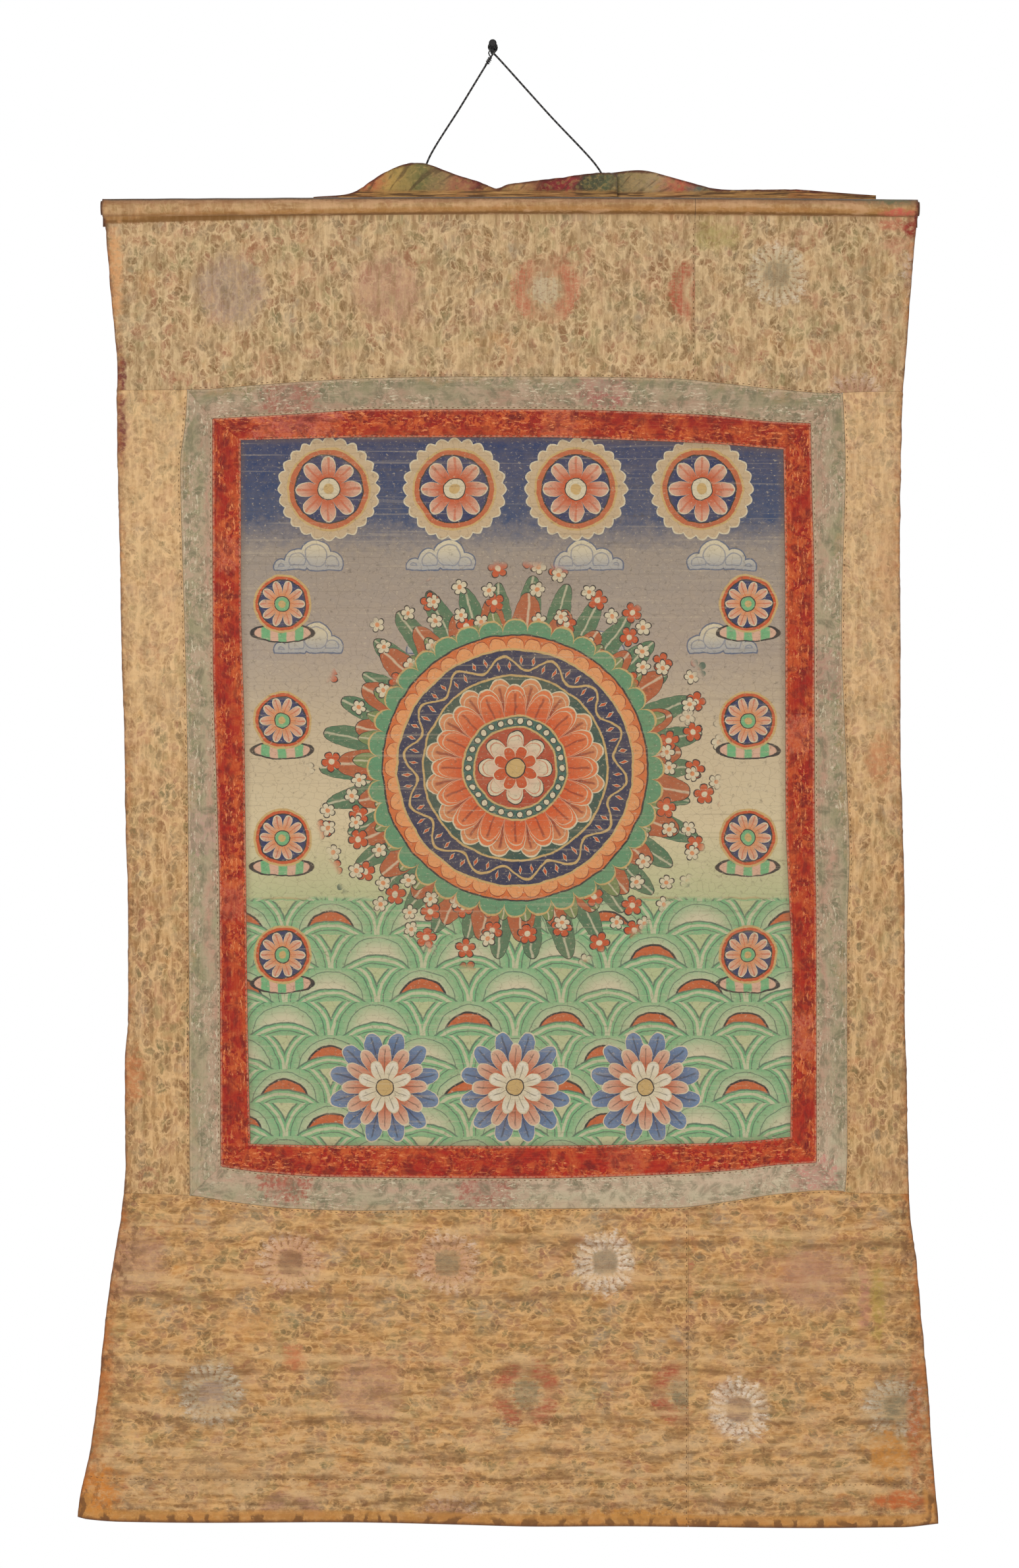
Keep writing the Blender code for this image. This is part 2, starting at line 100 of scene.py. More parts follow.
# ---- the photograph's framing --------------------
IMAGE_WIDTH_PX = 1547
IMAGE_HEIGHT_PX = 2380
MM_PER_PX = 0.586
NAIL_PX = (748, 70)
CAMERA_DISTANCE = 3.4

# the cloth's worn sides: down, left x, right x
OUTLINE = (
    (154, -345, 377.5), (193, -342, 374), (240, -338, 370.5), (287, -334, 367), (311, -334.5, 365),
    (369, -334, 363.5), (451, -332, 362.5), (545, -330.5, 363), (615, -328, 363), (686, -327, 365),
    (779, -324.5, 367), (861, -324.5, 367), (908, -327.5, 368.5), (1000, -327, 370), (1037, -330.5, 371.5),
    (1084, -338, 377.5), (1131, -344.5, 381.5), (1201, -351.5, 388), (1248, -358, 391),
    (1300, -368.5, 395.5), (1320, -370, 397.5),
)
# the hem and the rod's axis: x, down
HEM_EDGE = (
    (-372, 1307.5), (-360, 1310.5), (-330, 1312.5), (-150, 1313.5), (-34, 1315), (47, 1317), (256, 1318),
    (363, 1318), (400, 1314.5),
)
ROD_LINE = ((-349, 144), (-170, 143), (10, 142.4), (200, 143.2), (380, 144.8))
# rings of seams: x, down along the top and the bottom; down, x along the sides
GREY_OUTER = {
    "top": (
        (-340, 306), (-262, 305.5), (-216, 302), (-122, 296), (-28, 294), (66, 294), (159, 295.5), (206, 300),
        (253, 305), (300, 308.5), (324, 307.5), (372, 306.5),
    ),
    "bottom": (
        (-340, 1020), (-275, 1022), (-230, 1028.5), (-180, 1034), (-122, 1036), (-28, 1034.5), (159, 1033.5),
        (206, 1028), (253, 1021), (300, 1017.5), (324, 1020), (375, 1021.5),
    ),
    "left": (
        (296, -271), (335, -273.5), (372, -278), (475, -275.5), (580, -272.5), (690, -271), (861, -270),
        (1030, -269.5),
    ),
    "right": (
        (296, 311), (369, 314), (510, 310.5), (650, 315), (721, 317.5), (791, 315.5), (985, 315.5),
        (1030, 312.5),
    ),
}
RED_OUTER = {
    "top": ((-252, 331.5), (-169, 327), (-104, 323), (42, 323), (183, 327.5), (253, 334), (290, 335.5)),
    "bottom": (
        (-246, 996), (-204, 1002), (-145, 1006), (42, 1007), (148, 1004), (218, 999.5), (253, 995),
        (292, 993),
    ),
    "left": ((320, -249.5), (545, -249), (662, -245.5), (756, -243), (1008, -242)),
    "right": ((320, 283), (369, 283.5), (475, 286), (686, 286.5), (790, 288), (1008, 288)),
}
PAINTING_EDGE = {
    "top": ((-226, 350.5), (-104, 348), (42, 348), (120, 350.5), (183, 353), (262, 359)),
    "bottom": ((-220, 976.5), (-134, 978), (42, 978), (183, 976), (225, 974), (270, 969.5)),
    "left": ((345, -224), (486, -224), (600, -221), (721, -219.5), (861, -218), (980, -215.5)),
    "right": ((345, 258.5), (475, 260), (686, 260.5), (756, 263.5), (826, 266.5), (980, 264.5)),
}
# the bunched cover from left to right, with its pleat: x, off, down of its upper edge
COVER_ROUTE = (
    (-160, 17, 132.5), (-128, 17, 129.5), (-117, 16.5, 124.5), (-104, 15.8, 115), (-92, 15.5, 108.2),
    (-80, 15.3, 103.2), (-69, 15.3, 101.6), (-57, 15.3, 103.2), (-34, 15.8, 112), (-11, 16.5, 119.5),
    (3, 17, 125), (14, 16.8, 121.5), (36, 16.3, 118.4), (60, 15.8, 115.3), (78, 15.7, 112.6),
    (98, 15.8, 110.6), (107, 15.6, 111.2), (110.5, 13.7, 112), (107, 11.4, 112), (98, 10.9, 111.5),
    (91, 10.4, 111.8), (88.5, 8.5, 111.8), (93, 6.7, 111), (107, 6.5, 109), (130, 7.5, 106.8),
    (142, 8.7, 108.4), (154, 10.5, 112), (177, 13.5, 119), (200, 15.8, 125.4), (236, 17, 126),
    (271, 17, 126), (318, 17, 129.5), (342, 17, 131),
)
# the string from its left end over the nail to its right end: x, off, down
CORD_ROUTE = (
    (-62, 20.7, 150.4), (-62, 16.2, 148.4), (-62, 12.6, 144.2), (-62, 10.4, 132), (-61.4, 9, 112),
    (-57.7, 9.2, 98), (-28, 11, 49.7), (-4.7, 12.4, 11.7), (0.5, 12.7, 3.5), (3.2, 12.8, 0.3),
    (3.55, 13.1, -2.5), (2.35, 13.5, -4.55), (0, 13.9, -5.4), (-2.4, 14.4, -4.5), (-3.55, 14.8, -2.3),
    (-2.95, 15.2, 0.5), (0.5, 15.4, 3.8), (6, 15.2, 9.5), (50, 13.3, 58), (92.5, 11.4, 103.6),
    (97.8, 11.45, 113), (98.5, 12.75, 130), (98.5, 13.5, 143.4), (98.5, 16.6, 148.4), (98.5, 20.7, 150.6),
)
# soft ridges left by rolling the scroll up: down, slant, height, width
CREASES = (
    (1214, 0.004, 0.45, 6), (1245, -0.008, 0.6, 7), (1266, 0.01, 0.55, 6), (1287, -0.004, 0.7, 6.5),
    (1168, 0.006, 0.35, 8), (1098, -0.005, 0.3, 9), (1052, 0.006, 0.3, 8), (232, 0.004, 0.35, 9),
    (270, -0.006, 0.3, 8), (452, 0.003, 0.25, 10), (610, -0.004, 0.25, 10), (806, 0.005, 0.3, 10),
)
FOOT_CREASE_START = 1000


# ==== shape: the same curves and hanging surface as the frame ====================
def middle_slope(one, two):
    """The slope at a row between two runs: none at a peak, else the harmonic mean, so nothing overshoots."""
    return 2 * one * two / (one + two) if one * two > 0 else 0.0


def curve_weights(t):
    """The weights of two ends and of the slopes at them, a part t of the way: end, slope, end, slope."""
    return (1 + 2 * t) * (1 - t) ** 2, t * (1 - t) ** 2, t * t * (3 - 2 * t), t * t * (t - 1)


def smooth(rows, at, column=1):
    """A table's column at a place in its first column, along a smooth curve through the rows."""
    places = [row[0] for row in rows]
    values = [row[column] for row in rows]
    if at <= places[0]:
        return values[0]
    if at >= places[-1]:
        return values[-1]
    i = max(k for k in range(len(rows) - 1) if places[k] <= at)
    span = places[i + 1] - places[i]
    slope = (values[i + 1] - values[i]) / span
    before = after = slope
    if i > 0:
        before = middle_slope((values[i] - values[i - 1]) / (places[i] - places[i - 1]), slope)
    if i < len(rows) - 2:
        after = middle_slope(slope, (values[i + 2] - values[i + 1]) / (places[i + 2] - places[i + 1]))
    a, b, c, d = curve_weights((at - places[i]) / span)
    return a * values[i] + b * span * before + c * values[i + 1] + d * span * after


def spline(rows, t):
    """A point on the smooth curve through rows of three numbers, t counted in rows."""
    i = min(int(t), len(rows) - 2)
    p1 = Vector(rows[i])
    p2 = Vector(rows[i + 1])
    p0 = Vector(rows[i - 1]) if i > 0 else p1 * 2 - p2
    p3 = Vector(rows[i + 2]) if i < len(rows) - 2 else p2 * 2 - p1
    k0, k1, k2 = (max((q - p).length, 1e-6) ** 0.5 for p, q in ((p0, p1), (p1, p2), (p2, p3)))
    m1 = ((p2 - p1) / k1 - (p2 - p0) / (k0 + k1) + (p1 - p0) / k0) * k1
    m2 = ((p3 - p2) / k2 - (p3 - p1) / (k1 + k2) + (p2 - p1) / k1) * k1
    a, b, c, d = curve_weights(t - i)
    return p1 * a + m1 * b + p2 * c + m2 * d


def curve(rows, column=1):
    """A function that reads smoothly between the rows of a table."""
    return lambda at: smooth(rows, at, column)


left_edge = curve(OUTLINE, 1)
right_edge = curve(OUTLINE, 2)
rod_down = curve(ROD_LINE)
upper_seam = curve(GREY_OUTER["top"])
lower_seam = curve(GREY_OUTER["bottom"])
hem_edge = curve(HEM_EDGE)


def ragged(down, seed):
    """How far a worn side edge strays from its smooth line."""
    return 0.55 * noise.noise((seed, down / 17, 0)) + 0.35 * noise.noise((seed, down / 4, 7))


def worn_left(down):
    return left_edge(down) + ragged(down, 3)


def worn_right(down):
    return right_edge(down) + ragged(down, 9)


def hang_off(x, down):
    """How far the middle of the cloth hangs from the wall: straight at the rod, softly uneven below."""
    drop = min(max((down - STITCH_DOWN) / (HEM_DOWN - STITCH_DOWN), 0.0), 1.0)
    left = left_edge(down)
    right = right_edge(down)
    across = (2 * x - left - right) / (right - left)
    belly = BELLY_DEPTH * math.sin(math.pi * drop) * (1 - BELLY_LOST_AT_EDGE * across**2)
    curl = CURL_DEPTH * abs(across) ** 6 * math.sin(math.pi * drop) ** 0.7
    drift = FLUTE_DRIFT * math.sin(3 * drop)
    flute = FLUTE_DEPTH * drop**2 * math.sin(math.tau * (x - FLUTE_START) / FLUTE_WIDTH + drift)
    sway = SWAY_DEPTH * min(drop * 8, 1.0) * math.sin(math.tau * down / SWAY_HEIGHT + x / SWAY_SLANT)
    return ROD_OFF + belly - curl + flute + sway + CORNER_DEPTH * drop**7 * across**2


def fine_off(x, down):
    """The small unevenness of old cloth on top of its hang: roll creases, puckers at the rod, ripples."""
    total = 0.0
    for middle, slant, height, width in CREASES:
        wander = 3.5 * noise.noise((x / 90, middle, 1))
        t = (down - middle - slant * x - wander) / width
        total += height * math.exp(-t * t) * (0.6 + 0.8 * noise.noise((x / 60, middle, 4)))
    total += 0.55 * noise.noise((x / 70, down / 45, 2)) + 0.16 * noise.noise((x / 16, down / 12, 5))
    near_rod = max(0.0, 1 - (down - STITCH_DOWN) / 16)
    return total + 0.28 * near_rod * math.sin(math.tau * x / 7.3 + 2 * noise.noise((x / 20, 0, 8)))


def scene_point(x, off, down):
    """A point in metres from its place across, out from the wall and down, in mm."""
    return Vector((x, -off, -down)) * MM


def on_cloth(x, down, behind=0.0):
    """A point in the middle of the cloth, in metres."""
    return scene_point(x, hang_off(x, down) + fine_off(x, down) - behind, down)


def corner(ring, end, side):
    """Where an end and a side of a ring of seams meet."""
    x = down = 0.0
    for _ in range(12):
        x = smooth(ring[side], down)
        down = smooth(ring[end], x)
    return x, down


def ring_edge(ring, name):
    """A function of u in 0..1 that gives (x, down) along one edge of a ring of seams."""
    level = name in ("top", "bottom")
    if level:
        first, last = (corner(ring, name, side)[0] for side in ("left", "right"))
    else:
        first, last = (corner(ring, end, name)[1] for end in ("top", "bottom"))

    def at(u):
        place = first + (last - first) * u
        other = smooth(ring[name], place)
        return (place, other) if level else (other, place)

    return at


def between(left_at, right_at, top_at, bottom_at, u, v):
    """A point in a panel whose sides run down (x by down) and whose ends run across (down by x)."""
    down = 0.5 * (top_at(0) + bottom_at(0))
    for _ in range(8):
        x = left_at(down) + (right_at(down) - left_at(down)) * u
        down = top_at(x) + (bottom_at(x) - top_at(x)) * v
    return x, down


def stations(length, near_end=True):
    """Places in 0..1 along a length in mm: even cells, closer by an edge that rolls into its seam."""
    end = EDGE_STEPS if near_end else (0.0,)
    start = EDGE_STEPS[-1]
    inner = length - start - end[-1]
    count = max(2, round(inner / CELL))
    places = [*EDGE_STEPS, *(start + inner * k / count for k in range(1, count))]
    return [p / length for p in places + [length - e for e in reversed(end)]]


def seam_roll(*distances):
    """How far cloth turns back where it goes down into a seam, from its distances to the seams in mm."""
    near = max(min(distances), 0.0)
    return SEAM_ROLL * (1 - near / SEAM_ROLL_WIDTH) ** 2 if near < SEAM_ROLL_WIDTH else 0.0


# ==== building blocks ====================
def mesh_object(name, bm, mat):
    """A smooth-shaded object of the one body, from the mesh that was drawn up for it."""
    bmesh.ops.recalc_face_normals(bm, faces=bm.faces)
    mesh = bpy.data.meshes.new(name)
    bm.to_mesh(mesh)
    bm.free()
    mesh.shade_smooth()
    obj = bpy.data.objects.new(name, mesh)
    bpy.context.scene.collection.objects.link(obj)
    mesh.materials.append(mat)
    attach(obj, "root")
    return obj


def cloth(name, mat, us, vs, place):
    """A cut of cloth from a grid. place(u, v) gives a point, its flat (x, down) and how far a raw edge is."""
    bm = bmesh.new()
    flat = bm.verts.layers.float_vector.new("flat")
    grid = []
    for v in vs:
        row = []
        for u in us:
            at, where, rim = place(u, v)
            vert = bm.verts.new(at)
            vert[flat] = (where[0], where[1], rim)
            row.append(vert)
        grid.append(row)
    for low, high in zip(grid, grid[1:]):
        for corners in zip(low, low[1:], high[1:], high):
            bm.faces.new(corners)
    obj = mesh_object(name, bm, mat)
    solid = obj.modifiers.new("Thickness", "SOLIDIFY")
    solid.thickness = CLOTH_THICK * MM
    solid.offset = 0.0
    solid.use_even_offset = True
    return obj


def flat_area(corners_mm):
    """The area in square metres of a cut whose corners are given in mm."""
    pairs = zip(corners_mm, corners_mm[1:] + corners_mm[:1])
    return abs(sum(x0 * y1 - x1 * y0 for (x0, y0), (x1, y1) in pairs)) * 0.5 * MM * MM


# ==== shader arithmetic ====================
GAIN = 1.25


def tone(colour):
    """A linear colour from an 8-bit tone of three numbers. Anything else stays as it is."""
    if not isinstance(colour, tuple) or len(colour) != 3:
        return colour
    parts = [c / 255 for c in colour]
    return (*((c / 12.92 if c <= 0.04045 else ((c + 0.055) / 1.055) ** 2.4) / GAIN for c in parts), 1.0)


def shifted(colour, by):
    """A tone that is lighter by so much, or darker by a negative amount."""
    return tuple(min(255, c + by) for c in colour)


def halfway(one, two):
    return tuple((a + b) // 2 for a, b in zip(one, two))


def operation(kind, swapped=False):
    """A method that works one step of arithmetic on a field."""

    def method(self, *others):
        values = (self, *others)
        return self.net.math(kind, *(reversed(values) if swapped else values))

    return method


class Field:
    """A number at each point of a surface, worked out by shader nodes."""

    def __init__(self, net, socket):
        self.net = net
        self.socket = socket

    __add__ = __radd__ = operation("ADD")
    __sub__ = operation("SUBTRACT")
    __rsub__ = operation("SUBTRACT", swapped=True)
    __mul__ = __rmul__ = operation("MULTIPLY")
    __truediv__ = operation("DIVIDE")
    abs = operation("ABSOLUTE")
    sqrt = operation("SQRT")
    sin = operation("SINE")
    cos = operation("COSINE")
    arctan2 = operation("ARCTAN2")
    round = operation("ROUND")
    floor = operation("FLOOR")
    modulo = operation("MODULO")
    power = operation("POWER")
    least = operation("MINIMUM")
    most = operation("MAXIMUM")

    def step(self, low, high):
        """0 below low and 1 above high, eased between; low over high turns it round."""
        values = (self, low, high, 0, 1) if low < high else (self, high, low, 1, 0)
        made = self.net.node("ShaderNodeMapRange", enumerate(values), interpolation_type="SMOOTHSTEP")
        return Field(self.net, made.outputs[0])

    def line(self, at, width, soft):
        """1 along the places where the field has a value, fading out to both sides at a width."""
        return (self - at).abs().step(width, soft)


class Net:
    """A material's node tree, written as arithmetic. Its colour is what has been laid on so far."""

    def __init__(self, name):
        self.material = bpy.data.materials.new(name)
        self.material.use_nodes = True
        self.tree = self.material.node_tree
        self.shader = self.tree.nodes["Principled BSDF"]
        self.colour = None
        self.place = None

    def feed(self, socket, value):
        if isinstance(value, Field):
            value = value.socket
        if isinstance(value, bpy.types.NodeSocket):
            self.tree.links.new(value, socket)
        else:
            socket.default_value = tone(value)

    def node(self, kind, inputs=(), **settings):
        """A new node with its settings, fed with pairs of an input's name or number and its value."""
        made = self.tree.nodes.new(kind)
        for key, value in settings.items():
            setattr(made, key, value)
        for key, value in inputs:
            self.feed(made.inputs[key], value)
        return made

    def math(self, kind, *values):
        return Field(self, self.node("ShaderNodeMath", enumerate(values), operation=kind).outputs[0])

    def split(self, vector):
        parts = self.node("ShaderNodeSeparateXYZ", [(0, vector)])
        return [Field(self, socket) for socket in parts.outputs]

    def vector(self, *parts):
        return self.node("ShaderNodeCombineXYZ", enumerate(parts)).outputs[0]

    def cloth_place(self):
        """The laid-flat place on the cloth in mm, (x, down), and the distance to its raw edge."""
        made = self.node("ShaderNodeAttribute", attribute_type="GEOMETRY", attribute_name="flat")
        x, down, rim = self.split(made.outputs["Vector"])
        self.place = (x, down)
        return x, down, rim

    def noise(self, wide, tall=None, at=None, detail=3, rough=0.55, seed=0, warp=0):
        """Smooth noise in 0..1 with blobs of a size in mm, at the place on the cloth or another one."""
        x, y = at or self.place
        inputs = {
            "Vector": self.vector(x / wide, y / (tall or wide), seed),
            "Scale": 1,
            "Detail": detail,
            "Roughness": rough,
            "Distortion": warp,
        }
        made = self.node("ShaderNodeTexNoise", inputs.items(), noise_dimensions="3D")
        return Field(self, made.outputs["Fac"])

    def cells(self, x, y, size, randomness=0.85):
        """Voronoi cells of a size in mm: place from the centre, in cells, and two numbers for the cell."""
        u = x / size
        v = y / size
        inputs = {"Vector": self.vector(u, v), "Scale": 1, "Randomness": randomness}
        made = self.node("ShaderNodeTexVoronoi", inputs.items(), voronoi_dimensions="2D", feature="F1")
        centre = self.split(made.outputs["Position"])
        return u - centre[0], v - centre[1], *self.split(made.outputs["Color"])[:2]

    def random(self, one, two):
        """A number in 0..1 for each pair of whole numbers."""
        inputs = [("Vector", self.vector(one, two))]
        made = self.node("ShaderNodeTexWhiteNoise", inputs, noise_dimensions="2D")
        return Field(self, made.outputs["Value"])

    def mix(self, share, under, over):
        inputs = ((0, share), (6, under), (7, over))
        return self.node("ShaderNodeMix", inputs, data_type="RGBA", clamp_factor=True).outputs[2]

    def lay(self, share, colour):
        """Lay a colour over what is there, as far as its share goes."""
        self.colour = self.mix(share, self.colour, colour)

    def shape(self, far, colour, line=None, width=0.9):
        """Lay a colour where far, in mm, is below 0, and draw a line along its border."""
        self.lay(far.step(0.5, -0.5), colour)
        if line is not None:
            self.lay(far.abs().step(width, width * 0.5), line)

    def ramp(self, share, stops, steps=False):
        """A colour from stops of (place, colour), and its strength."""
        made = self.node("ShaderNodeValToRGB", [(0, share)])
        made.color_ramp.interpolation = "CONSTANT" if steps else "LINEAR"
        items = made.color_ramp.elements
        while len(items) < len(stops):
            items.new(1.0)
        for item, (place, colour) in zip(items, stops):
            item.position = place
            item.color = tone(colour)
        return made.outputs["Color"], Field(self, made.outputs["Alpha"])

    def behind(self):
        """1 on the faces that look to the wall, 0 on those in front."""
        return self.split(self.node("ShaderNodeNewGeometry").outputs["True Normal"])[1].step(0.1, 0.5)

    def weave(self, pitch=0.62):
        """The relief of plain crossing threads, in mm."""
        warp, weft = ((place * (math.tau / pitch)).sin() for place in self.place)
        return (warp * weft) * 0.06

    def finish(self, roughness, height, bump=0.3, sheen=0.2, metallic=0):
        """Wire the colour, the roughness and the relief (mm) into the surface."""
        inputs = {"Strength": bump, "Distance": MM, "Height": height}
        relief = self.node("ShaderNodeBump", inputs.items())
        for key, value in (
            ("Base Color", self.colour),
            ("Roughness", roughness),
            ("Metallic", metallic),
            ("Sheen Weight", sheen),
            ("Sheen Roughness", 0.45),
            ("Specular IOR Level", 0.35),
            ("Normal", relief.outputs["Normal"]),
        ):
            self.feed(self.shader.inputs[key], value)
        return self.material


def polar(x, y):
    return (x * x + y * y).sqrt(), y.arctan2(x)


# ==== the woven silks ====================
BLOOM_PITCH_X = 140
BLOOM_PITCH_DOWN = 116
LATTICE_COLUMNS = 6
LATTICE_FIRST_ROW = -1
LATTICE_ROWS = 8

CLEAR = (0, 0, 0, 0)
WHITE = (238, 218, 194)
GREY = (138, 124, 96)
OLIVE = (134, 120, 88)
ROSE = (184, 134, 106)
PINK = (214, 162, 126)
RED = (178, 78, 50)
ORANGE = (190, 108, 74)
MAUVE = (168, 140, 122)
BLUSHED = (138, 98, 74)
BROWN = (128, 84, 58)
PALE = (202, 182, 146)
FAINT = (188, 168, 138)

# the flower heads' parts by their column and row in the repeat
TOP_LEFT_BLOOMS = {
    "heart": {(2, 0): PALE, (3, 0): RED},
    "petals": {(2, 1): ROSE},
    "disc": {(0, 0): MAUVE, (1, 0): ROSE, (1, 1): ROSE, (3, 1): RED},
    "ring": {(2, 0): ORANGE, (3, 0): RED},
}
TOP_RIGHT_BLOOMS = {
    "heart": {(0, 0): GREY, (1, 0): GREY, (1, 1): BROWN},
    "petals": {(0, 0): PALE, (1, 0): MAUVE, (1, 1): ROSE},
    "disc": {},
    "ring": {},
}
BOTTOM_LEFT_BLOOMS = {
    "heart": {
        (1, 0): BROWN, (2, 0): OLIVE, (3, 0): GREY, (1, 1): MAUVE, (3, 1): OLIVE, (4, 1): OLIVE,
        (1, 2): BROWN, (2, 2): BROWN,
    },
    "petals": {(1, 0): PINK, (2, 0): PINK, (3, 0): WHITE, (1, 1): FAINT, (2, 2): ROSE},
    "disc": {(0, 0): ROSE, (1, 1): GREY, (2, 1): ROSE},
    "ring": {(3, 1): RED, (4, 1): RED, (1, 2): ROSE},
}
BOTTOM_RIGHT_BLOOMS = {
    "heart": {(0, 0): BLUSHED, (1, 0): OLIVE},
    "petals": {(0, 0): WHITE, (1, 0): FAINT},
    "disc": {(1, 0): OLIVE, (1, -1): ROSE},
    "ring": {(0, -1): ORANGE},
}
SIDE_BLOOMS = {"heart": {}, "petals": {(0, 3): MAUVE}, "disc": {(0, 1): ROSE, (0, 5): ROSE}, "ring": {}}

# blotches: x, down, width, height, tone, strength
TOP_STAINS = (
    (356, 137, 30, 6, (118, 112, 78), 1.0), (360, 148, 20, 5, (204, 98, 76), 1.0),
    (378, 150, 5, 16, (112, 20, 20), 1.2), (371, 162, 8, 10, (140, 34, 28), 1.0),
    (357, 159, 14, 7, (186, 92, 66), 0.7), (200, 170, 22, 16, (176, 160, 90), 0.5),
    (362, 178, 18, 10, (190, 128, 96), 0.6), (350, 262, 7, 60, (206, 158, 112), 0.5),
    (330, 215, 9, 30, (146, 126, 88), 0.5), (-330, 302, 6, 42, (110, 30, 36), 0.95),
    (-336, 205, 9, 52, (222, 164, 108), 0.95),
)
SIDE_STAINS = (
    (-300, 430, 110, 260, (242, 202, 150), 0.38), (340, 450, 110, 270, (238, 200, 154), 0.34),
    (-322, 916, 14, 34, (196, 112, 60), 0.7), (345, 634, 14, 30, (196, 116, 66), 0.6),
    (-330, 340, 6, 44, (112, 34, 38), 0.9), (352, 470, 10, 60, (200, 140, 90), 0.4),
)
FOOT_STAINS = (
    (-352, 1288, 28, 32, (214, 130, 40), 0.9), (-346, 1180, 10, 70, (196, 116, 56), 0.7),
    (-214, 1137, 30, 12, (214, 156, 92), 0.7), (-177, 1166, 13, 15, (204, 112, 66), 0.65),
    (-250, 1268, 60, 22, (204, 160, 108), 0.5), (120, 1306, 70, 6, (206, 138, 52), 0.8),
    (352, 1252, 26, 26, (206, 136, 54), 0.85), (362, 1294, 30, 10, (204, 100, 40), 0.85),
    (376, 1225, 9, 60, (190, 100, 44), 0.8), (343, 1116, 8, 46, (180, 150, 66), 0.7),
    (331, 1112, 7, 36, (198, 130, 106), 0.6), (262, 1090, 50, 22, (190, 130, 96), 0.5),
)


def bloom_ramp(net, index, tints):
    """The colour and strength of one part of the flower heads, looked up by their place in the lattice."""
    count = LATTICE_COLUMNS * LATTICE_ROWS
    entries = {}
    for (column, row), tint in tints.items():
        entries[column + LATTICE_COLUMNS * (row - LATTICE_FIRST_ROW)] = tint
    stops = [(0, CLEAR)]
    for place in sorted(entries):
        stops.append((place / count, entries[place]))
        if place + 1 not in entries:
            stops.append(((place + 1) / count, CLEAR))
    return net.ramp((index + 0.5) / count, stops, steps=True)


def lattice(x, down, origin):
    """Place from the nearest flower head in a half-drop repeat, and the head's number."""
    row = ((down - origin[1]) / BLOOM_PITCH_DOWN).round()
    shift = row.modulo(2).abs() * (BLOOM_PITCH_X / -2)
    column = ((x - origin[0] - shift) / BLOOM_PITCH_X).round()
    lx = x - origin[0] - shift - column * BLOOM_PITCH_X
    ld = down - origin[1] - row * BLOOM_PITCH_DOWN
    return lx, ld, column + (row - LATTICE_FIRST_ROW) * LATTICE_COLUMNS


def leaves(net, x, down, size, seed, slim, spread):
    """Pointed leaves strewn over a ground, within spread of upright: fill, outline and a number for each."""
    lx, ly, pick, turn = net.cells(x + seed, down, size, 0.95)
    angle = (turn - 0.5) * spread
    along = ly * angle.cos() + lx * angle.sin()
    side = (lx * angle.cos() - ly * angle.sin()).abs()
    inside = 1.0 - along * along * 4.4 - side / slim
    fill = inside.step(-0.1, 0.7) * (1.0 - side.step(0.04, 0.015) * 0.6)
    return fill, inside.abs().step(0.34, 0.1), pick


def lay_heads(net, x, down, origin, blooms, upright, grain, mottle, worn, block):
    """The brocade's rayed flower heads, part by part. Gives the relief of their petals."""
    head_x, head_d, index = lattice(x, down, origin)
    far, angle = polar(head_x, head_d)
    edge = far - (grain - 0.5) * 9 - (mottle - 0.5) * 7
    turn = angle * (20 / math.tau) + (grain - 0.5) * 1.2
    number = turn.round()
    spikes = 1.0 - (turn - number).abs() * 2
    reach = net.random(number, index)
    heart_colour, heart_on = bloom_ramp(net, index, blooms["heart"])
    petal_colour, petal_on = bloom_ramp(net, index, blooms["petals"])
    disc_colour, disc_on = bloom_ramp(net, index, blooms["disc"])
    ring_colour, ring_on = bloom_ramp(net, index, blooms["ring"])
    net.lay((edge - spikes * 4).step(37, 18) * disc_on * (worn * 0.4 + 0.3), disc_colour)
    net.lay(edge.step(30, 22) * ring_on * 0.35, (170, 138, 100))
    bars = ((head_x if upright else head_d) * 1.1).sin().step(0.1, 0.8)
    net.lay(bars * edge.step(19, 13) * ring_on * (worn * 0.3 + 0.1), PALE)
    net.lay(grain.step(0.44, 0.34) * edge.step(20, 12) * ring_on * 0.6, ring_colour)
    blocks = (angle.cos() if upright else (angle * 2).sin()).abs().step(0.25, 0.75) * 0.75 + 0.25
    ring = edge.step(13, 20) * edge.step(34, 26)
    net.lay(ring * ring_on * blocks * (worn * 0.6 + 0.25), ring_colour)
    net.lay(edge.step(31, 22) * petal_on * 0.35, petal_colour)
    notch = spikes.step(0.45, 0.15) * edge.step(12, 17) * edge.step(30, 26)
    net.lay(notch * petal_on * grain.step(0.56, 0.42) * 0.7, (132, 84, 50))
    petals = far.step(10, 13) * (edge - spikes * 6 - reach * 8).step(22, 14) * spikes.step(0.1, 0.6)
    petals = petals * grain.step(0.36, 0.54) * (block.step(0.36, 0.56) * 0.45 + 0.55) * petal_on
    net.lay(petals * 0.85, net.mix(far.step(16, 27) * 0.55, petal_colour, WHITE))
    heart = (head_x.abs().most(head_d.abs()) * 0.5 + far * 0.5 - (grain - 0.5) * 6).step(13, 9) * heart_on
    net.lay(heart * (worn * 0.3 + 0.42), heart_colour)
    net.lay(heart * grain.step(0.46, 0.36) * 0.4, (120, 92, 66))
    return petals


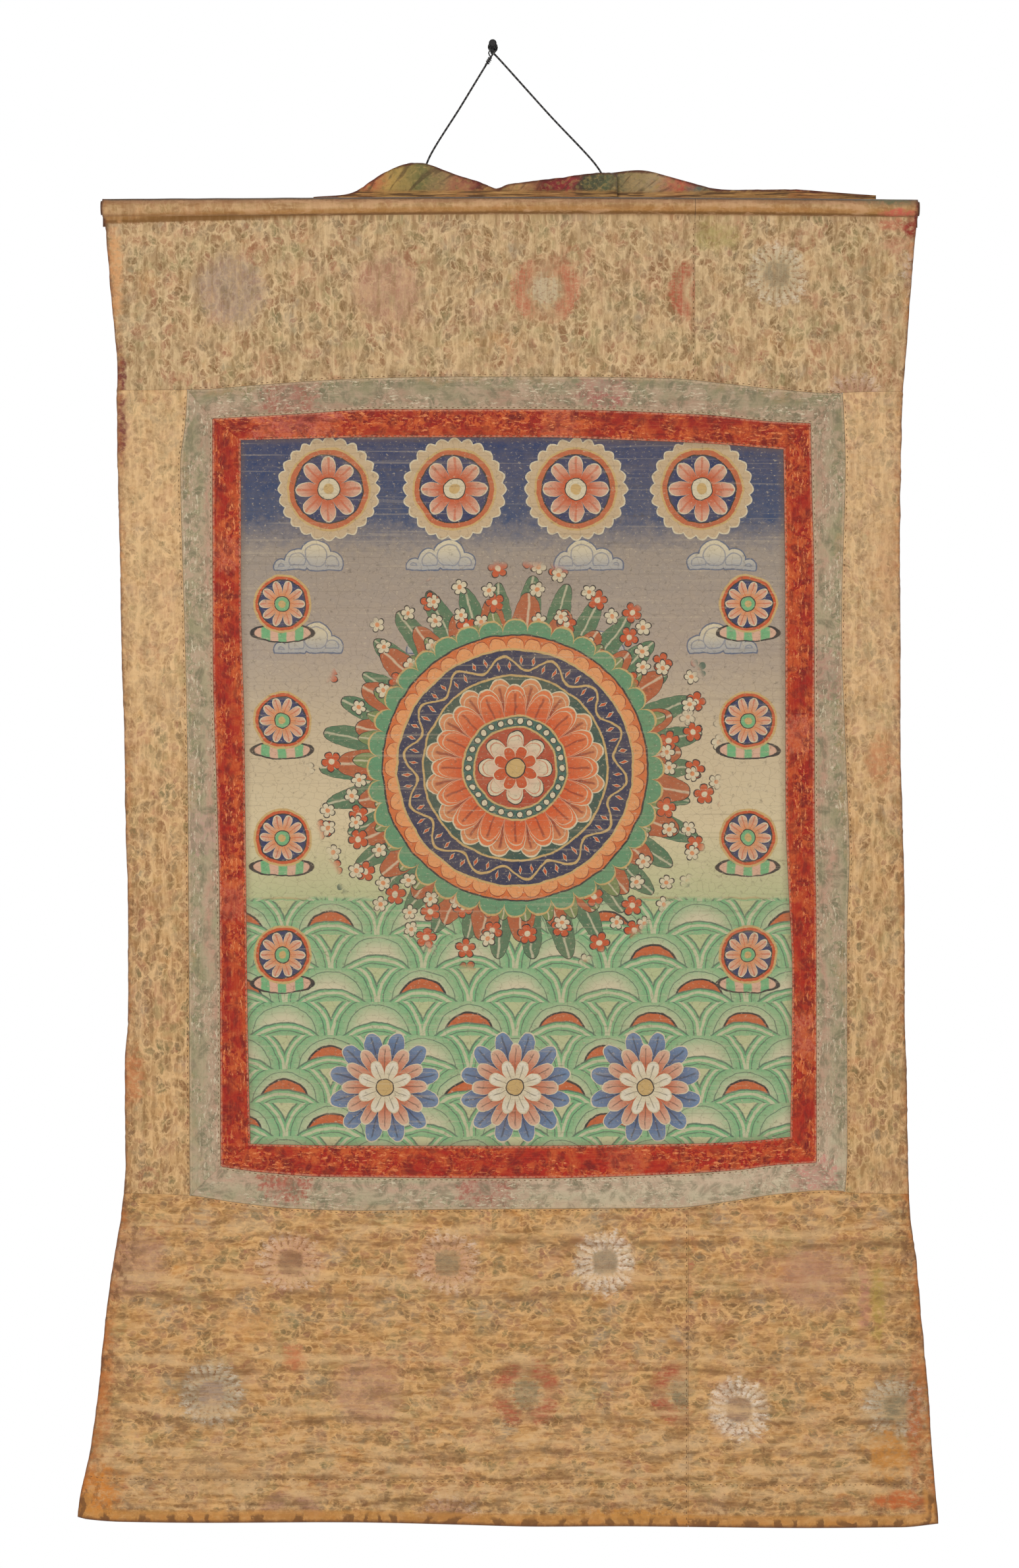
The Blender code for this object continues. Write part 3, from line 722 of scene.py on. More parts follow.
def lay_sleeve_shading(net, turn, x):
    """The sleeve round the rod, its shading painted in: golden along its middle, painted shade above, a
    painted shadow in the crease where it tucks in.
    """
    tuck = 5.2 - (x - 140) * (x - 140) * 0.00003
    # painted shading: the sleeve above the stitch tinted golden brown
    net.lay(turn.step(0, 3) * 0.4, (200, 146, 88))
    # a golden band of the sleeve's painted shading, just above the crease
    net.lay((turn - tuck).line(3, 5, 1) * 0.6, (170, 112, 40))
    # painted shadow in the crease where the sleeve tucks in
    net.lay(turn.line(tuck, 2.6, 0.6) * 0.85, (122, 78, 18))
    # painted shade over the upper half of the sleeve, darkest in a line along its top
    net.lay(turn.line(15.5, 3, 1) * 0.45, (176, 120, 92))
    net.lay(turn.step(9, 13) * 0.25, (146, 106, 62))
    net.lay(turn.step(15, 18) * 0.72, (128, 90, 50))
    net.lay(turn.step(16.6, 19) * 0.85, (72, 48, 28))
    length = net.noise(34, 9, (x, turn), rough=0.65, seed=34)
    body = turn.step(1, 4) * turn.step(18, 15)
    net.lay(body * length.step(0.52, 0.62) * 0.5, (216, 168, 122))
    net.lay(body * length.step(0.46, 0.36) * 0.5, (146, 98, 50))


def lay_crease_shading(net, x, down, cloud, mottle):
    """Lines creased by rolling up, across the foot: a painted highlight along each ridge, painted shade just
    below it.
    """
    for middle, slant, _, width in CREASES:
        if middle > FOOT_CREASE_START:
            t = (down - middle - x * slant + (cloud - 0.5) * 26 + (mottle - 0.5) * 8) / width
            spell = net.noise(46, 9, seed=middle).step(0.44, 0.58)
            # painted highlight along the crease's ridge
            net.lay(t.abs().step(1, 0.2) * spell * 0.5, (230, 188, 134))
            # painted shade just below the ridge
            net.lay(t.line(1.4, 0.7, 0.1) * spell * 0.55, (124, 84, 44))


def lay_stain(net, x, down, middle_x, middle_down, wide, tall, tint, strength):
    """A blotch with a broken border."""
    far, _ = polar((x - middle_x) / wide, (down - middle_down) / tall)
    far = far + (net.noise(10, detail=4, seed=41 + middle_x) - 0.5) * 1.8
    broken = net.noise(6, 4, detail=4, rough=0.7, seed=43).step(0.36, 0.58)
    net.lay(far.step(1.1, 0.35) * (broken * 0.7 + 0.3) * strength, tint)


def lay_worn_edges(net, x, down, rim, cloud, upright):
    """Orange and brown wear along the raw edges, and dark ticks along the hem."""
    spots = net.noise(5, seed=31)
    spells = net.noise(34, rough=0.6, seed=33).step(0.42, 0.58)
    edge = rim.step(9 if upright else 14, 0) * spots.step(0.3, 0.6) * (spells * 0.6 + 0.4)
    net.lay(edge * (0.45 if upright else 0.8), (190, 108, 42))
    blotch = net.noise(7, 9, detail=4, rough=0.7, seed=32).step(0.54, 0.4)
    blotch = rim.step(15 if upright else 34, 1) * blotch * (1.0 - spells * 0.75)
    net.lay(blotch * (0.35 if upright else 0.75), (112, 70, 36))
    if not upright:
        fold = (down + rim).step(HEM_DOWN - 30, HEM_DOWN - 22) * (rim + spots * 4).step(15, 11)
        net.lay(fold * 0.6, (212, 146, 66))
        ticks = (x * 0.26 + cloud * 26 + spots * 3).sin().step(0.3, 0.8) * (rim + spots * 8).step(14, 9)
        net.lay(fold * ticks * 0.75, (108, 66, 28))
        net.lay(fold * (rim + spots * 4).step(6, 4) * 0.55, (126, 78, 36))
    net.lay((rim + spots * 5).step(5.2, 2) * 0.75, (100, 56, 34))


def brocade(name, origin, blooms, upright, pale, deep, stains):
    """Old figured silk: leafy ground and a half-drop repeat of rayed flower heads, worn to its threads."""
    net = Net(name)
    x, down, rim = net.cloth_place()
    threads = (down, x) if upright else (x, down)
    wob_x = x + (net.noise(9, seed=3) - 0.5) * 8
    wob_d = down + (net.noise(9, seed=8) - 0.5) * 8
    cloud = net.noise(75, seed=1)
    mottle = net.noise(7, detail=4, rough=0.7, seed=2)
    grain = net.noise(3, 2, seed=11)
    broad = net.noise(60, 4, threads, detail=2, rough=0.6, seed=22)
    fade = net.noise(30, seed=5).step(0.3, 0.62)
    worn = grain.step(0.38, 0.58) * 0.6 + broad.step(0.4, 0.52) * 0.4
    ground = ((0.32, deep), (0.47, halfway(pale, deep)), (0.62, pale))
    net.colour, _ = net.ramp(cloud * 0.4 + mottle * 0.6, ground)
    line = shifted(pale, 20)
    # faded tints over broad patches
    for size, seed, low, tint, strength in (
        (46, 51, 0.5, (192, 128, 98), 0.45),
        (34, 52, 0.49, (152, 144, 94), 0.5),
        (28, 53, 0.55, (158, 144, 120), 0.5),
        (60, 54, 0.54, (206, 150, 88), 0.4),
        (20, 55, 0.58, (184, 108, 80), 0.42),
        (15, 56, 0.55, (146, 104, 64), 0.5),
        (11, 57, 0.58, (200, 134, 102), 0.42),
        (38, 58, 0.53, (160, 148, 128), 0.3 if upright else 0.55),
        (27, 60, 0.55, (208, 138, 62), 0.2 if upright else 0.55),
        (22, 62, 0.56, (132, 88, 48), 0.3 if upright else 0.5),
    ):
        net.lay(net.noise(size, rough=0.6, seed=seed).step(low, low + 0.16) * strength, tint)
    # lengths of thread where the ground has lost its shine
    block = net.noise(22, 6, threads, rough=0.6, seed=59)
    net.lay(block.step(0.52, 0.6) * 0.55, line)
    net.lay(block.step(0.47, 0.38) * 0.6, shifted(deep, -32))
    # strewn leaves with pale outlines
    leaf_tints = (
        (0, (128, 94, 50)), (0.26, (148, 100, 60)), (0.45, (130, 114, 70)), (0.63, (168, 112, 80)),
        (0.8, (138, 114, 80)),
    )
    fray = (net.noise(30, 1.5, threads, detail=2, seed=61) - 0.5) * 5
    u, v = (wob_x, wob_d + fray) if upright else (wob_d, wob_x + fray)
    kept = (fade * 0.6 + 0.35) * (worn * 0.8 + 0.4)
    figure = None
    for size, seed, slim, strength in ((25, 5, 0.25, 0.85), (16, 40, 0.26, 0.78), (10.5, 90, 0.3, 0.62)):
        fill, outline, pick = leaves(net, u, v, size, seed, slim, 2.6)
        net.lay(fill * kept * strength, net.ramp(pick, leaf_tints, steps=True)[0])
        net.lay(outline * kept * 0.5, line)
        figure = figure.most(fill) if figure else fill
    # flower heads, and small rings between them
    turn_x, turn_d = (0, fray * 0.5) if upright else (fray * 0.5, 0)
    near_x = x + (wob_x - x) * 0.7 + turn_x
    near_d = down + (wob_d - down) * 0.7 + turn_d
    petals = lay_heads(net, near_x, near_d, origin, blooms, upright, grain, mottle, worn, block)
    small, _ = polar(*lattice(wob_x, wob_d, (origin[0] + 24, origin[1] - 30))[:2])
    net.lay(small.step(4.5, 6.5) * small.step(11, 8.5) * worn * 0.5, (160, 92, 58))
    # threads worn bare, running with the weft or the warp
    low = down.step(1150, 1260)
    thread = net.noise(24, 1.6, threads, rough=0.65, seed=21)
    lift = thread.step(0.5, 0.72)
    sink = broad.step(0.5, 0.3)
    net.lay(lift * (low * 0.08 + 0.24), line)
    net.lay(sink * 0.24, shifted(deep, -34))
    bright = net.noise(30, 7, threads, detail=4, rough=0.65, seed=24).step(0.5, 0.64)
    net.lay(bright * low * 0.5, (224, 180, 126))
    area = net.noise(26, 14, threads, detail=4, rough=0.65, seed=26)
    net.lay(area.step(0.53, 0.62) * (low * 0.26 + 0.24), (228, 186, 134))
    net.lay(area.step(0.47, 0.38) * (low * 0.2 + 0.3), (126, 90, 48))
    if not upright:
        lay_crease_shading(net, x, down, cloud, mottle)
    net.lay(net.noise(2.6, rough=0.7, seed=25).step(0.4, 0.3) * 0.5, (112, 78, 46))
    if upright:
        lay_sleeve_shading(net, STITCH_DOWN - down + (grain - 0.5) * 2, x)
    for stain in stains:
        lay_stain(net, x, down, *stain)
    lay_worn_edges(net, x, down, rim, cloud, upright)
    # the reverse: the figure lost among loose threads, with broad water marks
    reverse = net.behind() * down.step(STITCH_DOWN - 2, STITCH_DOWN + 2)
    reverse = reverse * (down + rim).step(HEM_DOWN + 4, HEM_DOWN + 1)
    back_tints = ((0.36, (126, 94, 58)), (0.5, (158, 124, 82)), (0.64, (186, 150, 104)))
    floats, _ = net.ramp(thread * 0.5 + mottle * 0.5, back_tints)
    floats = net.mix(cloud.line(0.47, 0.03, 0.008) * 0.35, floats, (110, 78, 46))
    net.lay(reverse * 0.78, floats)
    relief = net.weave() + figure * 0.08 + petals * 0.16 + lift * 0.08 - sink * 0.05
    return net.finish(0.6 + mottle * 0.28 - lift * 0.06, relief, bump=0.55, sheen=0.25)


# the silk strips' looks; heads are the flower heads they are cut across: x, down, size, tone, heart's tone
RED_SILK = {
    "tints": ((0, (176, 44, 8)), (0.35, (162, 24, 0)), (0.6, (172, 32, 0)), (1, (184, 58, 10))),
    "figure": (206, 94, 38),
    "fleck": (236, 142, 84),
    "deep": (106, 14, 4),
    "seam_line": (216, 146, 114),
    "above": (134, 28, 12),
    "below": (186, 30, 0),
    "heads": (
        (-176, 330, 40, (206, 112, 88), (158, 70, 58)), (-236, 452, 17, (202, 104, 72), (178, 74, 44)),
        (-231, 760, 19, (200, 100, 68), (170, 68, 40)), (272, 612, 19, (204, 112, 80), (180, 78, 48)),
        (276, 880, 20, (204, 108, 76), (180, 76, 46)), (60, 336, 18, (196, 98, 66), (170, 66, 38)),
        (120, 990, 20, (198, 92, 56), (172, 62, 34)),
    ),
}
GREY_SILK = {
    "tints": (
        (0, (186, 152, 108)), (0.25, (152, 144, 106)), (0.5, (178, 160, 126)), (0.75, (192, 148, 122)),
        (1, (168, 156, 120)),
    ),
    "figure": (190, 160, 132),
    "fleck": (216, 200, 168),
    "deep": (120, 112, 84),
    "seam_line": (206, 178, 142),
    "above": (122, 108, 80),
    "below": (220, 200, 168),
    "heads": (
        (-180.5, 310, 29, (164, 92, 74), (178, 124, 106)), (98.4, 302, 24, (172, 92, 84), (166, 150, 124)),
        (-184, 1006, 26, (170, 70, 50), (186, 96, 70)), (-6, 1014, 27, (168, 84, 68), (160, 136, 112)),
        (287, 1006, 22, (206, 132, 118), (186, 150, 128)), (-262, 700, 20, (190, 150, 132), (170, 150, 120)),
        (300, 560, 22, (178, 132, 112), (166, 150, 124)),
    ),
}


def strip_silk(name, upright, tints, figure, fleck, deep, seam_line, above, below, heads):
    """Silk strips: faded lengthwise bands, a close small figure, pale flecks, worn lines at the seams."""
    net = Net(name)
    x, down, across = net.cloth_place()
    threads = (down, x) if upright else (x, down)
    mottle = net.noise(5, detail=4, rough=0.72, seed=62)
    grain = net.noise(3, rough=0.7, seed=63)
    drift = net.noise(70, 30, threads, seed=64)
    figured = net.noise(42, 20, threads, seed=65).step(0.42, 0.56)
    net.colour, _ = net.ramp(across * 0.7 + (drift - 0.4) * 1.5 + (mottle - 0.5) * 0.5, tints)
    wob_x = x + (mottle - 0.5) * 5
    wob_d = down + (grain - 0.5) * 5
    blot = net.noise(8, at=(wob_x, wob_d), detail=2, seed=66, warp=1.6)
    shape = blot.step(0.52, 0.57)
    net.lay(down.step(420, 320) * 0.3, above)
    net.lay(down.step(930, 1000) * (x.step(-60, 120) * 0.4 + 0.25), below)
    net.lay(shape * (figured * 0.75 + 0.08), figure)
    net.lay(blot.line(0.46, 0.04, 0.01) * (figured * 0.4 + 0.2), deep)
    for head_x, head_d, size, tint, heart in heads:
        far, angle = polar(x - head_x, down - head_d)
        reach = far - (angle * 8).cos().abs() * size * 0.3 - grain * size * 0.5
        net.lay(reach.step(size * 0.62, size * 0.36) * (grain.step(0.36, 0.6) * 0.6 + 0.2), tint)
        net.lay((far + grain * 6).step(size * 0.5, size * 0.34) * 0.5, heart)
    u, v = (wob_x, wob_d) if upright else (wob_d, wob_x)
    for size, seed, strength in ((19, 15, 0.6), (12, 35, 0.5)):
        fill, outline, pick = leaves(net, u, v, size, seed, 0.26, 5)
        net.lay(fill * strength, net.mix(pick.step(0.56, 0.6), deep, figure))
        net.lay(outline * (figured * 0.3 + 0.1), figure)
    shade = net.noise(16, 8, threads, rough=0.65, seed=69)
    net.lay(shade.step(0.48, 0.36) * 0.5, deep)
    net.lay(shade.step(0.56, 0.68) * 0.2, figure)
    flecks = net.noise(7, 2.2, threads, rough=0.7, seed=67)
    net.lay(flecks.step(0.56, 0.62) * (figured * 0.75 + 0.08), fleck)
    thread = net.noise(34, 1.3, threads, rough=0.65, seed=68)
    net.lay(thread.step(0.54, 0.72) * 0.16, fleck)
    net.lay(thread.step(0.44, 0.28) * 0.35, deep)
    edge = (0.5 - (across - 0.5).abs()) * 26
    net.lay(edge.step(2.6, 0.9) * grain.step(0.34, 0.6) * 0.75, seam_line)
    net.lay(edge.step(1, 0.1) * 0.35, tuple(c // 2 for c in deep))
    net.lay(net.behind() * 0.7, net.mix(drift.step(0.35, 0.65), halfway(figure, deep), above))
    relief = net.weave(0.55) + shape * 0.08 + thread * 0.08
    return net.finish(0.58 + mottle * 0.3, relief, bump=0.5, sheen=0.12)


MAROON = (112, 24, 22)
COVER_BANDS = (
    (-150, (140, 96, 60)), (-124, MAROON), (-108, (190, 108, 64)), (-88, (188, 150, 78)),
    (-62, (118, 112, 60)), (-42, (152, 120, 78)), (-26, (168, 104, 72)), (-12, MAROON),
    (2, (160, 112, 64)), (26, (190, 142, 88)),
    (44, MAROON), (70, (150, 44, 46)), (84, (66, 62, 40)), (104, (92, 96, 62)), (128, (158, 132, 86)),
    (148, (170, 144, 104)), (170, (190, 86, 60)), (184, (104, 108, 92)), (204, (122, 92, 54)),
    (262, (132, 98, 58)), (274, (150, 26, 20)), (288, (160, 60, 44)), (312, (118, 84, 52)),
)


def cover_silk():
    """Brightly banded old silk, seen only as folds and edges over the rod, with painted shade and highlights
    along its folds.
    """
    net = Net("cover_silk_look")
    x, down, below = net.cloth_place()
    grain = net.noise(4, 3, detail=4, rough=0.7, seed=81)
    cloud = net.noise(14, seed=82)
    fold = net.noise(11, 40, (x + below * 0.9, down), rough=0.6, seed=83)
    rope = net.noise(34, 2, rough=0.6, seed=84)
    first = COVER_BANDS[0][0]
    span = COVER_BANDS[-1][0] - first
    place = x + (cloud - 0.5) * 34 + (grain - 0.5) * 10 + below * 0.3
    bands = [((at - first) / span, tint) for at, tint in COVER_BANDS]
    net.colour, _ = net.ramp((place - first) / span, bands)
    net.lay(grain.step(0.5, 0.66) * 0.4, (200, 160, 96))
    net.lay(grain.step(0.46, 0.32) * 0.5, (72, 50, 30))
    lx, ly, pick, _ = net.cells(x + (grain - 0.5) * 4, down, 6)
    net.lay(polar(lx, ly)[0].step(0.36, 0.2) * pick.step(0.4, 0.5) * 0.4, (146, 126, 70))
    # painted shade in the folds and painted highlights on them, along the fold streaks
    net.lay(fold.step(0.47, 0.36) * 0.6, (74, 46, 22))
    net.lay(fold.step(0.56, 0.66) * 0.4, (196, 152, 82))
    foot = (down + (grain - 0.5) * 3).step(125, 128.5)
    net.lay(foot * 0.75, (176, 126, 66))
    net.lay(foot * rope.step(0.5, 0.42) * 0.8, (78, 48, 20))
    net.lay(foot * rope.step(0.56, 0.64) * 0.6, (214, 164, 100))
    net.lay((below + cloud * 6).step(6, 3.4) * fold.step(0.68, 0.5) * 0.85, (88, 30, 18))
    relief = net.weave() + grain * 0.12 + fold * 0.8 + foot * rope * 0.6
    return net.finish(0.6 + cloud * 0.2, relief, bump=0.6, sheen=0.15)


# ==== the painted canvas ====================
CANVAS_MIDDLE = (20, 664)
ROUNDEL_DOWN = -22
WAVE_TOP = 96
WAVE_HALF = 41
WAVE_RISE = 30

INK = (46, 44, 46)
NAVY = (44, 54, 92)
CREAM = (214, 198, 164)
SAND = (198, 170, 132)
SLATE_GREEN = (84, 104, 88)
EMERALD = (112, 172, 118)
VERMILION = (196, 82, 40)
APRICOT = (214, 138, 88)
BLUSH = (214, 168, 140)
GOLD = (200, 164, 104)


def petal_wheel(far, angle, count, inner, outer, turn=0, blunt=0.6):
    """Distance past the border of a wheel of pointed petals, the place across a petal, and its number."""
    spin = angle * (count / math.tau) + turn
    number = spin.round()
    side = (spin - number).abs() * 2
    reach = (1.0 - side.power(2.2)).most(0).power(blunt)
    return far - (inner + reach * (outer - inner)), side, number


def rosette(net, x, y, size, petal, back, heart, count=8):
    """A round medallion: halo, ground, a wheel of petals and a heart."""
    far, angle = polar(x, y)
    net.shape(far - size, back, GOLD, 1.3)
    net.shape(far - size * 0.84, NAVY, INK, 0.7)
    edge, side, _ = petal_wheel(far, angle, count, size * 0.3, size * 0.8)
    net.shape(edge, net.mix(far.step(size * 0.25, size * 0.8), petal, BLUSH), CREAM, 0.8)
    net.lay(edge.step(0, -0.4) * side.step(0.16, 0.06) * 0.6, VERMILION)
    net.shape(far - size * 0.27, heart, INK, 0.6)
    net.shape(far - size * 0.13, GOLD)


def repeat(value, first, pitch, last):
    """A place folded into repeats from first to last."""
    number = ((value - first) / pitch).round().most(0).least(round((last - first) / pitch))
    return value - first - number * pitch


def lay_waves(net, p, q):
    """Rolling scalloped bands over the lower part, one row in front of the next, some with a sun in them."""
    water = q.step(92, 96)
    row = ((q - WAVE_TOP) / WAVE_RISE).floor()
    below = q - WAVE_TOP - row * WAVE_RISE
    for lift, offset in ((1, 0.5), (0, 0)):
        number = row - lift
        lx = p - (number.abs() + 2 * offset).modulo(2) * WAVE_HALF
        column = (lx / (2 * WAVE_HALF)).round()
        lx = lx - column * 2 * WAVE_HALF
        ly = WAVE_RISE * (2 - lift) - below
        far = (lx * lx + ly * ly * 1.1).sqrt()
        pick = net.random(column + number * 7, lift)
        inside = far.step(44.5, 43.5) * water
        green = net.mix(pick * 0.5, EMERALD, (136, 178, 126))
        net.lay(inside, net.mix(far.step(10, 40), CREAM, green))
        sun = pick.step(0.36, 0.38) * inside
        net.lay(sun * far.step(22, 21), (196, 96, 50))
        net.lay(sun * far.step(13, 12), (224, 158, 98))
        net.lay(sun * far.line(21.5, 1.3, 0.5), INK)
        for at, width in ((43.6, 1.1), (36, 0.7), (28.5, 0.6)):
            net.lay(far.line(at, width, width * 0.4) * water * 0.8, SLATE_GREEN)
        net.lay(far.line(39.8, 1.7, 0.9) * water * 0.7, CREAM)


def lay_roundel(net, far, angle):
    """The great roundel, from its rim inwards."""
    net.shape(petal_wheel(far, angle, 36, 121, 132, 0, 0.5)[0], (96, 144, 104), GOLD, 1.2)
    net.shape(far - 118, (210, 108, 52), INK, 1)
    net.shape(petal_wheel(far, angle, 44, 106, 115.5, 0, 0.5)[0], (226, 150, 92), (150, 66, 36), 0.6)
    net.shape(far - 105, (46, 50, 78), GOLD, 1.2)
    vine = (angle * 14).sin()
    net.lay((far - 93.5 - vine * 6).abs().step(1.5, 0.7), GOLD)
    curl = (far - 93.5 + vine * 4).abs() + (angle * 28).cos().abs() * 9
    net.shape(curl - 4, VERMILION, CREAM, 0.7)
    net.shape(far - 82, (58, 84, 72), GOLD, 1.2)
    for inner, outer, turn, petal, tip in (
        (48, 80, 0.5, (186, 76, 40), APRICOT),
        (44, 74, 0, (208, 84, 36), (222, 118, 66)),
    ):
        edge, side, _ = petal_wheel(far, angle, 16, inner, outer, turn, 0.55)
        net.shape(edge, net.mix(far.step(inner, outer), petal, tip), CREAM, 1)
        net.lay(edge.line(-5, 0.8, 0.3) * far.step(inner, inner + 4) * 0.7, CREAM)
        net.lay(side.step(0.12, 0.04) * edge.step(-6, -9) * 0.7, (132, 46, 34))
    net.shape(far - 46, (60, 100, 88), GOLD, 1.1)
    pearl_turn = angle * (30 / math.tau)
    pearl, _ = polar((pearl_turn - pearl_turn.round()) * 8.6, far - 41.5)
    net.shape(pearl - 2.7, CREAM, INK, 0.5)
    net.shape(far - 36.5, (176, 74, 46), GOLD, 1.1)
    edge, _, _ = petal_wheel(far, angle, 8, 12, 33, 0, 0.5)
    net.shape(edge, net.mix(far.step(10, 32), BLUSH, CREAM), INK, 0.7)
    net.lay(edge.line(-4, 0.8, 0.3) * 0.7, VERMILION)
    net.shape(petal_wheel(far, angle, 8, 8, 20, 0.5, 0.5)[0], VERMILION, CREAM, 0.7)
    net.shape(far - 8.5, GOLD, INK, 0.7)


def painted(name):
    """A decorative painting of common ornament: a flower roundel, rosettes, sprays, clouds and wave bands."""
    net = Net(name)
    x, down, seam = net.cloth_place()
    p = x - CANVAS_MIDDLE[0] + (net.noise(20, seed=71) - 0.5) * 5
    q = down - CANVAS_MIDDLE[1] + (net.noise(20, seed=73) - 0.5) * 5
    beside = p.abs()
    mottle = net.noise(9, detail=4, rough=0.65, seed=74)
    # ground: night blue above, through grey lilac and sage to pale meadow
    ground = (
        (0, (44, 58, 96)), (0.11, (66, 78, 106)), (0.16, (156, 142, 128)), (0.3, (172, 154, 136)),
        (0.42, (202, 180, 146)), (0.55, (214, 194, 154)), (0.68, (176, 186, 134)), (1, (196, 192, 146)),
    )
    net.colour, _ = net.ramp((q + (mottle - 0.5) * 26 + 314) / 628, ground)
    lay_waves(net, p, q)
    # clouds in the sky
    cx = repeat(beside, 62, 118, 180)
    cy = repeat(q, -206, 74, -132)
    cloud = None
    for ox, oy, r in ((-17, 2, 10), (-3, -5, 14), (14, 0, 11), (28, 5, 7)):
        lobe = polar(cx - ox, cy - oy)[0] - r
        cloud = cloud.least(lobe) if cloud else lobe
    cloud = cloud.most(cy - 8)
    net.shape(cloud, net.mix(cy.step(-16, 8), CREAM, (168, 164, 158)), (96, 104, 122), 0.8)
    net.lay(cloud.line(-4, 0.8, 0.3) * 0.7, (120, 124, 136))
    # sprays of leaves and blossoms round the roundel
    far, angle = polar(p, q - ROUNDEL_DOWN)
    for count, inner, outer, turn, fill in (
        (34, 120, 176, 0, (84, 116, 84)),
        (27, 118, 160, 0.4, (176, 92, 54)),
        (41, 116, 146, 0.2, (120, 134, 82)),
    ):
        edge, side, number = petal_wheel(far, angle, count, inner, outer, turn, 0.8)
        edge = edge + net.random(number, turn) * 18
        net.shape(edge, fill, INK, 0.6)
        net.lay(side.step(0.1, 0.02) * edge.step(0, -1) * 0.7, CREAM)
    band = far.step(126, 134) * far.step(186, 176)
    for size, seed, petal, heart, keep in ((30, 81, VERMILION, CREAM, 0.45), (23, 82, CREAM, APRICOT, 0.5)):
        bx, by, pick, other = net.cells(p + seed * 3, q, size, 0.7)
        near, bloom_angle = polar(bx * size, by * size)
        edge, _, _ = petal_wheel(near, bloom_angle + other * 6, 5, size * 0.1, size * 0.3, 0, 0.5)
        shown = band * pick.step(keep, keep + 0.02)
        net.lay(edge.step(0.5, -0.5) * shown, petal)
        net.lay(edge.abs().step(0.8, 0.3) * shown, INK)
        net.lay(near.step(size * 0.1, size * 0.07) * shown, heart)
    lay_roundel(net, far, angle)
    # a row of rosettes above, and two columns beside
    ux = repeat(beside, 54, 112, 166)
    glow, glow_angle = polar(ux, q + 270)
    net.shape(glow - 42 - (glow_angle * 12).cos().abs() * 3.5, SAND, CREAM, 0.9)
    rosette(net, ux, q + 270, 36, VERMILION, (190, 98, 58), CREAM)
    sx = beside - 207
    sy = repeat(q, -168, 104, 144)
    base = (polar(sx / 27, (sy - 26) / 8)[0] - 1) * 8
    net.shape(base, net.mix((sx * 0.42).cos().step(-0.3, 0.3), BLUSH, EMERALD), INK, 0.8)
    rosette(net, sx, sy, 25, APRICOT, VERMILION, EMERALD, 10)
    # lotus heads along the foot
    near, near_angle = polar(repeat(beside, 0, 116, 116), q - 262)
    for count, inner, outer, turn, petal, tip in (
        (12, 22, 50, 0.5, (62, 76, 114), (110, 132, 160)),
        (12, 16, 38, 0, (192, 96, 60), BLUSH),
        (8, 8, 24, 0.5, CREAM, (226, 214, 190)),
    ):
        edge, side, _ = petal_wheel(near, near_angle, count, inner, outer, turn, 0.6)
        net.shape(edge, net.mix(near.step(inner, outer), petal, tip), CREAM, 0.8)
        net.lay(side.step(0.1, 0.03) * edge.step(-2, -5) * 0.6, INK)
    net.shape(near - 7.5, GOLD, INK, 0.7)
    # small scattered sprigs on the sage
    gx, gy, pick, _ = net.cells(p, q, 34, 0.8)
    near, near_angle = polar(gx * 34, gy * 34)
    free = far.step(184, 190) * beside.step(176, 170) * q.step(-130, -120) * q.step(92, 86)
    edge, _, _ = petal_wheel(near, near_angle + pick * 6, 5, 2, 9, 0, 0.6)
    net.lay(edge.step(0.4, -0.4) * free, SLATE_GREEN)
    net.lay(near.step(3, 2) * free, VERMILION)
    return aged_paint(net, x, down, seam, mottle)


def aged_paint(net, x, down, seam, mottle):
    """Years on the paint: brown veil, rubbed pigment, flakes, fine cracks and roll lines."""
    cloud = net.noise(90, seed=91)
    net.lay(cloud.step(0.35, 0.7) * 0.1, (170, 140, 104))
    net.lay((mottle - 0.35) * 0.28, (206, 176, 132))
    rub = net.noise(3.2, 2.4, detail=4, rough=0.7, seed=92)
    net.lay(rub.step(0.57, 0.68) * 0.55, (206, 186, 154))
    net.lay(net.noise(5, detail=4, rough=0.7, seed=93).step(0.56, 0.7) * 0.4, (84, 74, 60))
    roll = net.noise(160, 3, detail=2, seed=94)
    net.lay(roll.step(0.58, 0.7) * 0.22, (206, 186, 154))
    net.lay(roll.step(0.42, 0.3) * 0.18, (96, 84, 68))
    inputs = {"Vector": net.vector(x / 9 + mottle * 0.7, down / 6 + mottle * 0.7), "Scale": 1}
    settings = {"voronoi_dimensions": "2D", "feature": "DISTANCE_TO_EDGE"}
    crack = net.node("ShaderNodeTexVoronoi", inputs.items(), **settings)
    hair = Field(net, crack.outputs["Distance"]).step(0.045, 0)
    net.lay(hair * 0.28, (96, 80, 62))
    net.lay(seam.step(7, 0) * 0.35, (120, 92, 66))
    # the unpainted back: brown sized cotton, the picture only a faint shadow in it
    back_tints = ((0.34, (138, 110, 76)), (0.5, (168, 140, 102)), (0.66, (190, 164, 124)))
    bare, _ = net.ramp(cloud * 0.4 + mottle * 0.6, back_tints)
    net.lay(net.behind() * 0.88, net.mix(roll.step(0.42, 0.3) * 0.35, bare, (120, 92, 62)))
    relief = net.weave(0.5) + rub * 0.08 - hair * 0.06 + roll * 0.1
    return net.finish(0.72 + mottle * 0.18, relief, bump=0.5, sheen=0.05)


# ==== cloth pieces ====================
# the cuts' flat sizes in mm, and where down the cloth the width of a side and of the foot is measured
CANVAS_SIZE = (482, 628)
CANVAS_INSET = 0.12
TOP_FLAT_HEIGHT = 150
SIDE_SIZE = (60, 714)
SIDE_WIDTH_DOWN = 600
FOOT_FLAT_HEIGHT = 284
FOOT_WIDTH_DOWN = 1170


